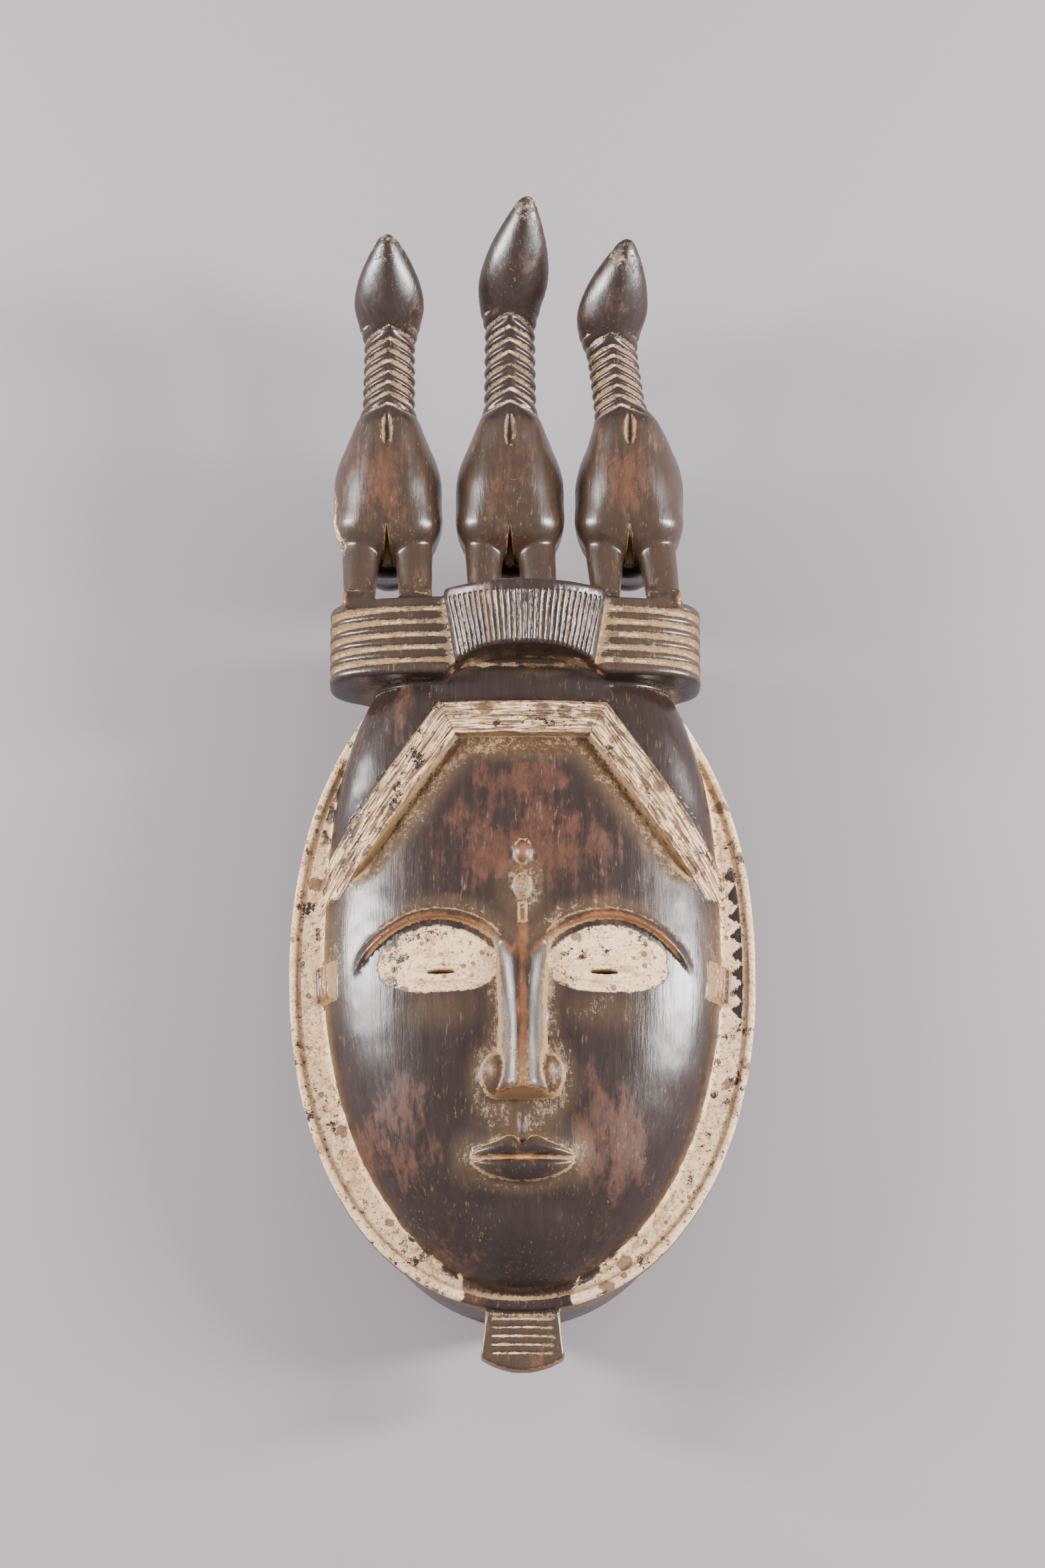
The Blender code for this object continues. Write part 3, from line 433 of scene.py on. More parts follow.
def hollow_field(x, y, z):
    """Hollow behind the face, open at the back."""
    half_width = RIM_HALF_WIDTH - RIM_WIDTH
    above = RIM_ABOVE - RIM_WIDTH
    depth = FACE_FRONT - FACE_WALL
    ratio = egg(x, y, half_width, HOLLOW_BELOW, above)
    rise = np.clip(z, 0.0, None) / depth
    return ((ratio ** HOLLOW_POWER + rise ** HOLLOW_POWER) ** (1.0 / HOLLOW_POWER) - 1.0) * 0.7 * half_width


def tab_field(x, y, z):
    """Flared chin tab under the collar."""
    top_y = HEAD_CENTRE_Y - COLLAR_BELOW
    down = (top_y - y) / (top_y - TAB_BOTTOM_Y)
    half_width = TAB_TOP_HALF_WIDTH + (TAB_BOTTOM_HALF_WIDTH - TAB_TOP_HALF_WIDTH) * np.clip(down, 0.0, 1.0)
    curve = 0.0055 * (x / TAB_BOTTOM_HALF_WIDTH) ** 2
    end = TAB_BOTTOM_Y + curve - y
    start = y - top_y - 0.006
    front = z - (COLLAR_FRONT - 0.0012)
    back = COLLAR_FRONT - 0.0012 - TAB_THICKNESS - z
    sides = np.abs(x) - half_width
    plan = overlap(sides, np.maximum(end, start), 0.0015)
    return overlap(plan, np.maximum(front, back), 0.0015)


def crest_field(x, y, z):
    """Two grooved side lobes and the fluted fan between them."""
    across = x - CREST_CENTRE_X
    mid_z = 0.5 * (LOBE_FRONT + LOBE_BACK)
    half_z = 0.5 * (LOBE_FRONT - LOBE_BACK)

    in_depth = np.abs(z - mid_z) / half_z
    in_span = np.abs(across) / LOBE_HALF_SPAN
    outline = ((in_span ** LOBE_POWER + in_depth ** LOBE_POWER) ** (1.0 / LOBE_POWER) - 1.0) * half_z
    rows = (y - CREST_BOTTOM_Y) / (CREST_TOP_Y - CREST_BOTTOM_Y) * (LOBE_GROOVES + 1)
    groove = LOBE_GROOVE_DEPTH * (0.5 + 0.5 * np.cos(2.0 * math.pi * rows)) ** 2
    groove = groove * plateau(np.abs(rows - 0.5 * (LOBE_GROOVES + 1)), 0.5 * LOBE_GROOVES, 0.2)
    groove = groove * plateau(LOBE_BACK + 0.012 - z, 0.0, 0.01)
    from_fan = x - FAN_CENTRE_X
    arch = FAN_ARCH * np.clip(1.0 - np.abs(from_fan / FAN_TOP_HALF_WIDTH) ** 3.0, 0.0, None)
    under = CREST_BOTTOM_Y + arch - y
    lobes = overlap(outline + groove, np.maximum(under, y - CREST_TOP_Y), EDGE_ROUND)

    up = np.clip((y - CREST_BOTTOM_Y) / (CREST_TOP_Y - CREST_BOTTOM_Y), 0.0, 1.1)
    half_width = FAN_BOTTOM_HALF_WIDTH + (FAN_TOP_HALF_WIDTH - FAN_BOTTOM_HALF_WIDTH) * up
    axis_z = FAN_FRONT - FAN_RADIUS
    drum = np.hypot(from_fan, z - axis_z) - FAN_RADIUS + FAN_TAPER * (1.0 - up)
    over = y - CREST_TOP_Y - 0.0015
    block = overlap(np.maximum(under - 0.0005, over), np.abs(from_fan) - half_width, EDGE_ROUND)
    block = np.maximum(block, axis_z - 0.010 - z)
    fan = overlap(block, drum, EDGE_ROUND)
    return blend(lobes, fan, 0.0010)


def bird_body(x, y, z, body_x):
    """Egg of a body: a full back, two lobes over the thighs in front, and a blunt tail."""
    hind = (body_x, BODY_Y, BODY_Z)
    middle = (body_x, BODY_Y + 0.0145, BODY_Z + 0.0035)
    breast = (body_x, BREAST_Y - 0.008, BREAST_Z - 0.005)
    core = blend(
        limb(x, y, z, hind, middle, BODY_RADIUS, 0.885 * BODY_RADIUS),
        limb(x, y, z, middle, breast, 0.885 * BODY_RADIUS, 0.69 * BODY_RADIUS),
        0.009,
    )
    for side in (-1.0, 1.0):
        low = (body_x + side * 0.40 * BODY_RADIUS, BODY_Y - 0.005, BODY_Z + 0.009)
        top = (body_x + side * 0.14 * BODY_RADIUS, BREAST_Y - 0.004, BREAST_Z + 0.003)
        core = blend(core, limb(x, y, z, low, top, 0.56 * BODY_RADIUS, 0.42 * BODY_RADIUS), 0.004)
    tail = limb(x, y, z, (body_x, BODY_Y - 0.006, BODY_Z - 0.010), (body_x, TAIL_Y, TAIL_Z),
                0.78 * BODY_RADIUS, TAIL_RADIUS)
    return blend(core, tail, 0.008)


def bird_neck(x, y, z, bird):
    """Ringed neck, edged along its front, from the breast to the head."""
    up = np.clip((y - BREAST_Y) / (bird["neck_y"] - BREAST_Y), -0.3, 1.1)
    centre_x = bird["base"] + (bird["neck"] - bird["base"]) * np.clip(up, 0.0, 1.0)
    across = x - centre_x
    radius = NECK_RADIUS * (1.05 - 0.05 * up)
    phase = (up + 0.35 * np.abs(across) / (bird["neck_y"] - BREAST_Y)) * NECK_RINGS
    ringed = plateau(np.abs(up - 0.50), 0.44, 0.04) * plateau(BREAST_Z - 0.001 - z, 0.0, 0.006)
    facet = 0.45 + 0.55 * np.sin(math.pi * np.clip(np.abs(across) / radius, 0.0, 1.0))
    ring = NECK_RING_DEPTH * (0.5 - 0.5 * np.cos(2.0 * math.pi * phase)) ** 1.5 * ringed * facet
    out = z - BREAST_Z - 0.003 * up
    spread = np.abs(across / radius) ** NECK_POWER + np.abs(out / radius) ** NECK_POWER
    shaft = (spread ** (1.0 / NECK_POWER) - 1.0) * 0.85 * radius + ring
    ends = np.abs(y - 0.5 * (BREAST_Y + bird["neck_y"])) - 0.5 * (bird["neck_y"] - BREAST_Y) - 0.008
    return overlap(shaft, ends, 0.002)


def bird_head(x, y, z, bird):
    """Broad head and pointed bill, keeled along its underside and raised to the front."""
    tilt = math.radians(HEAD_TILT_DEG)
    length = (bird["tip_y"] - bird["neck_y"] + 0.012) / math.cos(tilt)
    rise = y - bird["neck_y"] + 0.006
    out = z - BREAST_Z - 0.002
    ahead = rise * math.cos(tilt) + out * math.sin(tilt)
    lift = -rise * math.sin(tilt) + out * math.cos(tilt)
    share = ahead / length
    to_neck = np.clip((HEAD_WIDEST - share) / HEAD_WIDEST, 0.0, 1.4)
    to_tip = np.clip((share - HEAD_WIDEST) / (1.0 - HEAD_WIDEST), 0.0, 1.0)
    half_width = HEAD_HALF_WIDTH * (1.0 - 0.28 * to_neck ** 2 - 0.86 * to_tip ** 1.7)
    middle = bird["neck"] + (bird["tip"] - bird["neck"]) * np.clip(share, 0.0, 1.0) ** 1.3
    keel = np.abs(lift) / (HEAD_DEPTH_SHARE * half_width)
    spread = (np.abs(x - middle) / half_width) ** HEAD_POWER + keel ** HEAD_POWER
    head = (spread ** (1.0 / HEAD_POWER) - 1.0) * 0.6 * half_width
    return overlap(head, np.abs(share - 0.40) * length - 0.60 * length, 0.003)


def bird_field(x, y, z, bird):
    """Long-necked bird on two stout legs."""
    body_x = bird["body"]
    figure = blend(bird_body(x, y, z, body_x), bird_neck(x, y, z, bird), 0.005)
    figure = blend(figure, bird_head(x, y, z, bird), 0.004)
    for side in (-1.0, 1.0):
        foot_x = bird["foot"] + side * LEG_SPREAD
        hip = (body_x + side * 0.95 * LEG_SPREAD, BODY_Y - 0.014, BODY_Z + 0.008)
        toe = (foot_x, CREST_TOP_Y, BODY_Z + 0.014)
        leg = limb(x, y, z, hip, toe, 1.18 * LEG_RADIUS, 0.98 * LEG_RADIUS)
        foot = np.maximum(np.abs(x - foot_x) - 0.98 * LEG_RADIUS, np.abs(z - toe[2]) - 1.0 * LEG_RADIUS)
        foot = overlap(foot, np.abs(y - CREST_TOP_Y) - FOOT_HEIGHT, 0.0030)
        figure = blend(figure, blend(leg, foot, 0.0015), 0.0012)
    crotch = BODY_Y - 0.0085
    down = np.clip((crotch - y) / (crotch - CREST_TOP_Y), 0.0, 1.0)
    gap = np.maximum(np.abs(x - body_x) - 0.5 * LEG_GAP * down, BODY_Z + 0.004 - z)
    figure = overlap(figure, -np.maximum(gap, y - crotch), 0.0025)
    across = (x - body_x) / NOTCH_HALF_WIDTH
    along = (y - BREAST_Y + 0.0050) / NOTCH_HALF_LENGTH
    return figure + NOTCH_DEPTH * np.clip(1.0 - across ** 2 - along ** 2, 0.0, 1.0) * (z > BREAST_Z)


def where_near(near, field, x, y, z, *extra):
    """A part's field where it can matter, and a large value elsewhere."""
    values = np.full(x.shape, FAR_OFF)
    if near.any():
        values[near] = field(x[near], y[near], z[near], *extra)
    return values


def mask_field(x, y, z):
    """The whole carving: negative in the wood, which ends at the back plane."""
    wood = where_near(y < CREST_TOP_Y, head_field, x, y, z)
    in_tab = y < HEAD_CENTRE_Y - COLLAR_BELOW + NEAR_REACH
    in_tab = in_tab & (np.abs(x) < TAB_BOTTOM_HALF_WIDTH + NEAR_REACH)
    wood = blend(wood, where_near(in_tab, tab_field, x, y, z), 0.0012)
    in_crest = (y > CREST_BOTTOM_Y - NEAR_REACH) & (y < CREST_TOP_Y + NEAR_REACH)
    wood = blend(wood, where_near(in_crest, crest_field, x, y, z), 0.0025)
    for bird in BIRDS:
        in_bird = np.abs(x - bird["body"]) < BODY_RADIUS + 2.0 * NEAR_REACH
        in_bird = in_bird & (y > CREST_TOP_Y - NEAR_REACH)
        wood = blend(wood, where_near(in_bird, bird_field, x, y, z, bird), 0.0012)
    in_hollow = y < HEAD_CENTRE_Y + RIM_ABOVE + NEAR_REACH
    hollow = where_near(in_hollow, hollow_field, x, y, z)
    wood = overlap(wood, -hollow, 0.002)
    return np.maximum(wood, -z)


def eye_slits(x, y, z, height):
    """Space of the slits through both lowered eyelids."""
    _, eye, _, _ = face_levels()
    across = (np.abs(x) - EYE_CENTRE_X) / (0.5 * EYE_SLIT_LENGTH)
    along = (y - eye + 0.001) / (0.5 * height)
    plan = (np.hypot(across, along) - 1.0) * 0.5 * height
    return np.maximum(plan, COLLAR_FRONT - z)


def carved_field(x, y, z, slit_height=EYE_SLIT_HEIGHT):
    """The carving with its eye slits: negative in the wood."""
    wood = mask_field(x, y, z)
    near = (np.abs(x) < FACE_HALF_WIDTH) & (z > COLLAR_FRONT) & (y < FACE_HAIRLINE_Y)
    if near.any():
        wood[near] = np.maximum(wood[near], -eye_slits(x[near], y[near], z[near], slit_height))
    return wood


def rough_field(x, y, z):
    """The carving with slits wide enough for the net to find them."""
    return carved_field(x, y, z, NET_SLIT_HEIGHT)


def blocks_at_skin(field, low, counts, width):
    """Blocks of lattice cells that the skin crosses, and their neighbours."""
    axes = [low[i] + 0.5 * width * np.arange(2 * counts[i] + 1) for i in range(3)]
    grid_x, grid_z = np.meshgrid(axes[0], axes[2], indexing="ij")

    def layer(y):
        return field(grid_x, np.full_like(grid_x, y), grid_z) < 0.0

    with ThreadPoolExecutor() as pool:
        wood = np.stack(list(pool.map(layer, axes[1])), axis=1)
    some = np.zeros(counts, bool)
    every = np.ones(counts, bool)
    for i in range(3):
        for j in range(3):
            for k in range(3):
                part = wood[i:i + 2 * counts[0] - 1:2, j:j + 2 * counts[1] - 1:2, k:k + 2 * counts[2] - 1:2]
                some |= part
                every &= part
    crossed = some & ~every
    near = crossed.copy()
    for axis in range(3):
        near |= np.roll(crossed, 1, axis=axis) | np.roll(crossed, -1, axis=axis)
    blocks = np.argwhere(near)
    return blocks[np.argsort(blocks[:, 1], kind="stable")]


def surface_net(field, low, high, step):
    """Points and quads of the zero surface: one point in each lattice cell that it crosses."""
    width = step * NET_BLOCK
    counts = np.ceil((high - low) / width).astype(int)
    blocks = blocks_at_skin(field, low, counts, width)
    side = NET_BLOCK + 1
    nodes = np.stack(np.meshgrid(*[np.arange(side)] * 3, indexing="ij"), axis=-1).reshape(-1, 3)
    cells = np.stack(np.meshgrid(*[np.arange(NET_BLOCK)] * 3, indexing="ij"), axis=-1).reshape(-1, 3)
    corners = np.array([(i, j, k) for i in (0, 1) for j in (0, 1) for k in (0, 1)])
    corner_nodes = (cells[:, None, :] + corners) @ np.array([side * side, side, 1])
    pairs = [(a, b) for a in range(8) for b in range(a + 1, 8)]
    cell_edges = [(a, b) for a, b in pairs if np.abs(corners[a] - corners[b]).sum() == 1]
    size = counts * NET_BLOCK + 1
    stride = np.array([size[1] * size[2], size[2], 1])

    def net_cells(some):
        first = some * NET_BLOCK
        places = low + (first[:, None, :] + nodes) * step
        values = field(places[..., 0], places[..., 1], places[..., 2])
        inside = (values < 0.0)[:, corner_nodes]
        count = inside.sum(axis=-1)
        block, cell = np.nonzero((count > 0) & (count < 8))
        at = values[block[:, None], corner_nodes[cell]]
        total = np.zeros((len(block), 3))
        number = np.zeros(len(block))
        for a, b in cell_edges:
            crossed = (at[:, a] < 0.0) != (at[:, b] < 0.0)
            share = np.where(crossed, at[:, a] / np.where(crossed, at[:, a] - at[:, b], 1.0), 0.0)
            total += (corners[a] + (corners[b] - corners[a]) * share[:, None]) * crossed[:, None]
            number += crossed
        corner = first[block] + cells[cell]
        point = low + (corner + total / number[:, None]) * step
        signs = [np.sign(at[:, k]) - np.sign(at[:, 0]) for k in (4, 2, 1)]
        return corner @ stride, point, np.stack(signs, axis=1)

    with ThreadPoolExecutor() as pool:
        found = list(pool.map(net_cells, np.array_split(blocks, len(blocks) // 400 + 1)))
    keys, points, signs = [np.concatenate(part) for part in zip(*found)]
    order = np.argsort(keys)
    keys, points, signs = keys[order], points[order], signs[order]
    quads = []
    for axis, (second, third) in enumerate(((1, 2), (2, 0), (0, 1))):
        for sign in (1, -1):
            key = keys[np.sign(signs[:, axis]) == sign]
            back = key - stride[second]
            ring = np.stack([key, back, back - stride[third], key - stride[third]], 1)
            ring = ring[:, ::sign]
            place = np.clip(np.searchsorted(keys, ring), 0, len(keys) - 1)
            quads.append(place[(keys[place] == ring).all(axis=1)])
    return points, np.concatenate(quads)


def mesh_of(name, points, faces):
    """Mesh with the given points and faces, all of one size."""
    mesh = bpy.data.meshes.new(name)
    mesh.vertices.add(len(points))
    mesh.vertices.foreach_set("co", points.astype(np.float32).ravel())
    mesh.loops.add(faces.size)
    mesh.loops.foreach_set("vertex_index", faces.astype(np.int32).ravel())
    mesh.polygons.add(len(faces))
    mesh.polygons.foreach_set("loop_start", np.arange(0, faces.size, faces.shape[1], dtype=np.int32))
    mesh.update(calc_edges=True)
    return mesh


def thinned(points, faces, triangles):
    """The net with fewer triangles, larger ones where it is smooth."""
    rough = bpy.data.objects.new("rough_net", mesh_of("rough_net", points, faces))
    bpy.context.scene.collection.objects.link(rough)
    thin = rough.modifiers.new("thin", "DECIMATE")
    thin.ratio = triangles / (len(faces) * (faces.shape[1] - 2))
    mesh = rough.evaluated_get(bpy.context.evaluated_depsgraph_get()).to_mesh()
    mesh.calc_loop_triangles()
    places = np.empty(3 * len(mesh.vertices), np.float32)
    mesh.vertices.foreach_get("co", places)
    faces = np.empty(3 * len(mesh.loop_triangles), np.int32)
    mesh.loop_triangles.foreach_get("vertices", faces)
    bpy.data.objects.remove(rough, do_unlink=True)
    return places.reshape(-1, 3).astype(float), faces.reshape(-1, 3)


def slope_of(points, field):
    """Field value and slope at each point, from four probes around it."""
    def probe(some):
        value = np.zeros(len(some))
        slope = np.zeros((len(some), 3))
        for direction in PROBE_DIRECTIONS:
            at = field(*(some + PROBE_REACH * direction).T)
            value += 0.25 * at
            slope += at[:, None] * direction * (0.75 / PROBE_REACH)
        return np.column_stack([value, slope])

    with ThreadPoolExecutor() as pool:
        found = np.concatenate(list(pool.map(probe, np.array_split(points, len(points) // 8000 + 1))))
    return found[:, 0], found[:, 1:]


def skin_normals(points):
    """Directions straight out of the skin, and how steep the field is there."""
    _, slope = slope_of(points, carved_field)
    steep = np.linalg.norm(slope, axis=1)
    return slope / np.maximum(steep, 1e-9)[:, None], steep


def settled(points, field, rounds):
    """Points moved down or up the slope onto the skin."""
    for _ in range(rounds):
        value, slope = slope_of(points, field)
        steep = np.maximum((slope ** 2).sum(axis=1), 0.05)
        move = value / steep
        move = np.clip(move, -SETTLE_LIMIT, SETTLE_LIMIT)
        points = points - move[:, None] * slope
    return points


def split_faces(faces, marked, middle, lengths):
    """Faces cut at the middles of their marked edges, longest edge first."""
    count = marked.sum(axis=1)
    result = [faces[count == 0]]
    for turn in range(3):
        order = np.roll(np.arange(3), -turn)
        a, b, c = (faces[:, i] for i in order)
        first, second = (marked[:, i] for i in order[:2])
        m_first, m_second, m_third = (middle[:, i] for i in order)
        longer = lengths[:, order[0]] >= lengths[:, order[1]]
        one = first & (count == 1)
        result.append(np.stack([a, m_first, c], 1)[one])
        result.append(np.stack([m_first, b, c], 1)[one])
        two = first & second & (count == 2)
        result.append(np.stack([m_first, b, m_second], 1)[two])
        result.append(np.stack([a, m_first, c], 1)[two & longer])
        result.append(np.stack([m_first, m_second, c], 1)[two & longer])
        result.append(np.stack([a, m_first, m_second], 1)[two & ~longer])
        result.append(np.stack([a, m_second, c], 1)[two & ~longer])
        if turn == 0:
            every = count == 3
            result.append(np.stack([a, m_first, m_third], 1)[every])
            result.append(np.stack([m_first, b, m_second], 1)[every])
            result.append(np.stack([m_third, m_second, c], 1)[every])
            result.append(np.stack([m_first, m_second, m_third], 1)[every])
    return np.concatenate(result)


def refined(points, faces, wanted, field=None):
    """Triangles bisected until no edge is longer than wanted, with new points set on the field."""
    for _ in range(REFINE_ROUNDS):
        edges = np.stack([faces, np.roll(faces, -1, axis=1)], axis=2)
        edges = np.sort(edges, axis=2).reshape(-1, 2)
        keys, place = np.unique(edges[:, 0].astype(np.int64) * len(points) + edges[:, 1], return_inverse=True)
        place = place.reshape(-1, 3)
        first, second = keys // len(points), keys % len(points)
        middles = 0.5 * (points[first] + points[second])
        lengths = np.linalg.norm(points[first] - points[second], axis=1)
        split = lengths > wanted(middles)
        longest = place[np.arange(len(place)), np.argmax(lengths[place], axis=1)]
        while True:
            more = split.copy()
            more[longest[split[place].any(axis=1)]] = True
            if more.sum() == split.sum():
                break
            split = more
        if not split.any():
            break
        number = len(points) + np.cumsum(split) - 1
        faces = split_faces(faces, split[place], number[place], lengths[place])
        added = settled(middles[split], field, 1) if field else middles[split]
        points = np.concatenate([points, added])
    return points, faces


def wanted_edge(points):
    """Longest edge wanted at each place: short where the carving is fine."""
    x, y, z = points.T
    limit = np.full(len(points), EDGE_PLAIN)
    face_ratio = egg(x, y, FACE_HALF_WIDTH, FACE_BELOW, FACE_ABOVE, FACE_POWERS)
    outside = z > COLLAR_FRONT - 0.004
    on_face = outside & (face_ratio < 1.0) & (z > hollow_top(x, y) + 0.004)
    limit[on_face] = EDGE_FACE
    limit[(z < COLLAR_FRONT) & (y < CREST_BOTTOM_Y) & outside] = EDGE_COLLAR
    limit[outside & (face_ratio >= 1.0) & (y < CREST_BOTTOM_Y)] = EDGE_COLLAR
    features = on_face & (np.abs(x) < 0.068) & (y > 0.022) & (y < 0.165)
    limit[features] = EDGE_FEATURES
    band = on_face & (np.abs(band_signed(x, y)) < 0.5 * BAND_WIDTH + 0.0005) & (y > BAND_END_Y - 0.004)
    limit[band] = EDGE_BAND
    in_crest = (y > CREST_BOTTOM_Y - 0.001) & (y < CREST_TOP_Y + 0.003) & (z > 0.030)
    limit[in_crest] = EDGE_LOBES
    fan = in_crest & (np.abs(x - FAN_CENTRE_X) < FAN_TOP_HALF_WIDTH) & (z > LOBE_FRONT + 0.001)
    limit[fan] = EDGE_FAN
    neck = (y > BREAST_Y) & (y < 0.402) & (z > BREAST_Z - NECK_RADIUS)
    limit[neck] = EDGE_NECK
    limit[(y > CREST_TOP_Y + 0.003) & ~neck] = EDGE_BIRDS
    tab = (y < HEAD_CENTRE_Y - COLLAR_BELOW + 0.001) & (z > COLLAR_FRONT - 0.003)
    limit[tab] = EDGE_TAB
    return limit


def painted_edge(points):
    """Longest edge wanted for the paint values: short on the collar and the face."""
    x, y, z = points.T
    _, eye, _, _ = face_levels()
    limit = np.full(len(points), EDGE_PLAIN)
    limit[z > 0.5 * COLLAR_FRONT] = PAINT_EDGE_CREST
    limit[(z > COLLAR_FRONT - 0.004) & (y < CREST_BOTTOM_Y)] = PAINT_EDGE_FACE
    limit[(np.abs(z - COLLAR_FRONT) < 0.002) & (y < CREST_BOTTOM_Y)] = PAINT_EDGE_COLLAR
    beside_eyes = (np.abs(np.abs(x) - EYE_CENTRE_X) < 0.029) & (np.abs(y - eye - 0.004) < 0.020)
    limit[beside_eyes & (z > COLLAR_FRONT)] = PAINT_EDGE_EYES
    return limit


def hollow_top(x, y):
    """Height of the roof of the hollow behind the face."""
    ratio = egg(x, y, RIM_HALF_WIDTH - RIM_WIDTH, HOLLOW_BELOW, RIM_ABOVE - RIM_WIDTH)
    return (FACE_FRONT - FACE_WALL) * np.clip(1.0 - ratio ** HOLLOW_POWER, 0.0, 1.0) ** (1.0 / HOLLOW_POWER)


def noise(points, size, seed):
    """Smooth noise from -1 to 1 with lumps of about the given size."""
    place = points / size + 31.7 * seed
    cell = np.floor(place).astype(np.int64)
    share = place - cell
    share = share * share * (3.0 - 2.0 * share)
    total = np.zeros(len(points))
    for corner in range(8):
        step = np.array([corner & 1, corner >> 1 & 1, corner >> 2])
        key = (cell + step) @ np.array([73856093, 19349663, 83492791])
        key = (key ^ (key >> 13)) * 1274126177 & 0x7FFFFFFF
        key = (key ^ (key >> 16)) * 668265263 & 0x7FFFFFFF
        weight = np.prod(np.where(step, share, 1.0 - share), axis=1)
        total += weight * (key / 0x3FFFFFFF - 1.0)
    return total


def fan_cut(points):
    """Share of full depth of the flutes down the front of the fan."""
    x, y, z = points.T
    across = x - FAN_CENTRE_X
    up = np.clip((y - CREST_BOTTOM_Y) / (CREST_TOP_Y - CREST_BOTTOM_Y), 0.0, 1.0)
    half_width = FAN_BOTTOM_HALF_WIDTH + (FAN_TOP_HALF_WIDTH - FAN_BOTTOM_HALF_WIDTH) * up
    axis_z = FAN_FRONT - FAN_RADIUS
    turn = np.arctan2(across, z - axis_z) / (0.97 * np.arcsin(half_width / FAN_RADIUS))
    drum = FAN_RADIUS - FAN_TAPER * (1.0 - up)
    on_drum = plateau(np.abs(np.hypot(across, z - axis_z) - drum), 0.0010, 0.0006) * (np.abs(turn) < 1.0)
    phase = 0.5 * (turn + 1.0) * FAN_GROOVES + 0.10 * noise(points, 0.008, 1)
    aside = np.abs(phase - np.floor(phase) - 0.5)
    row = np.floor(phase)
    depth = 0.85 + 0.15 * noise(np.column_stack([row, 0.0 * row, 0.0 * row]), 0.7, 2)
    within = plateau(y - CREST_TOP_Y + FAN_RIM, 0.0, 0.0008) * (y > CREST_BOTTOM_Y - 0.002)
    return np.clip(1.0 - aside / 0.36, 0.0, 1.0) * depth * on_drum * within


def on_the_face(points):
    """1 on the front of the face and hair, 0 on the collar, the crest and in the hollow."""
    x, y, z = points.T
    face_ratio = egg(x, y, FACE_HALF_WIDTH, FACE_BELOW, FACE_ABOVE, FACE_POWERS)
    return (z > COLLAR_FRONT) & (face_ratio < 1.01) & (z > hollow_top(x, y) + 0.004) & (y < CREST_BOTTOM_Y)


def band_cut(points):
    """Share of full depth of the long grooves and the mitre cuts of the hair band."""
    x, y, _ = points.T
    over = band_signed(x, y) + 0.00016 * noise(points, 0.009, 3)
    row = (over / BAND_WIDTH + 0.5) * (FINE_BAND_GROOVES + 1)
    aside = np.abs(row - np.round(row))
    lines = np.clip(1.0 - aside / 0.30, 0.0, 1.0) * plateau(np.abs(over), 0.5 * BAND_WIDTH * 0.93, 0.0004)
    row_place = np.column_stack([np.round(row) * 3.0, 0.0 * row, (x + 1.7 * y) / 0.011])
    lines = lines * np.clip(0.75 + 0.65 * noise(row_place, 1.0, 4), 0.0, 1.2)
    slant_x = BAND_END_X - BAND_CORNER_X
    slant_y = BAND_END_Y - BAND_TOP_Y
    slant = math.hypot(slant_x, slant_y)
    over_slant = (np.abs(x) - BAND_CORNER_X) * (-slant_y) / slant + (y - BAND_TOP_Y) * slant_x / slant
    mitre = np.abs(y - BAND_TOP_Y - over_slant) / 0.66
    cut = 1.15 * np.clip(1.0 - mitre / 0.0006, 0.0, 1.0) * (np.abs(over) < 0.5 * BAND_WIDTH)
    above_end = plateau(BAND_END_Y + 0.001 - y, 0.0, 0.006)
    return np.maximum(lines, cut) * above_end * on_the_face(points)


def collar_run(points):
    """Distance in from the collar's outer edge, and out from the foot of the face."""
    x, y, _ = points.T
    edge = (1.0 - egg(x, y, COLLAR_HALF_WIDTH, COLLAR_BELOW, COLLAR_ABOVE)) * COLLAR_HALF_WIDTH
    face_ratio = egg(x, y, FACE_HALF_WIDTH, FACE_BELOW, FACE_ABOVE, FACE_POWERS)
    return edge, (face_ratio - 0.994) * FACE_HALF_WIDTH


def zigzag_line(points):
    """Distance from the collar's edge to each point and to the zigzag line beside it."""
    x, y, _ = points.T
    edge, _ = collar_run(points)
    along = np.arctan2(y - HEAD_CENTRE_Y, x) * 0.5 * (COLLAR_HALF_WIDTH + COLLAR_BELOW)
    phase = along / ZIGZAG_PITCH + 0.08 * noise(points, 0.02, 5)
    rise = 2.0 * np.abs(phase - np.floor(phase) - 0.5)
    return edge, ZIGZAG_START + ZIGZAG_HEIGHT * rise


def zigzag_sides(points):
    """Inside the triangles of the collar, and how well their dark ground is kept."""
    edge, line = zigzag_line(points)
    inside = plateau(edge - line, 0.0, 0.0008) * plateau(ZIGZAG_START - edge, 0.0, 0.0008)
    return inside, 0.5 + 0.9 * noise(points, 0.024, 6)


def zigzag_cut(points, normals):
    """Share of full depth of the row of triangles incised on the collar."""
    _, y, z = points.T
    edge, line = zigzag_line(points)
    steep = 2.0 * ZIGZAG_HEIGHT / ZIGZAG_PITCH
    aside = np.abs(edge - line) / math.hypot(1.0, steep)
    on_collar = (normals[:, 2] > 0.8) & (np.abs(z - COLLAR_FRONT) < 0.002) & (y > -0.002)
    kept = np.clip(0.75 + 0.55 * noise(points, 0.018, 6), 0.0, 1.0)
    return np.clip(1.0 - aside / ZIGZAG_HALF_WIDTH, 0.0, 1.0) * on_collar * kept


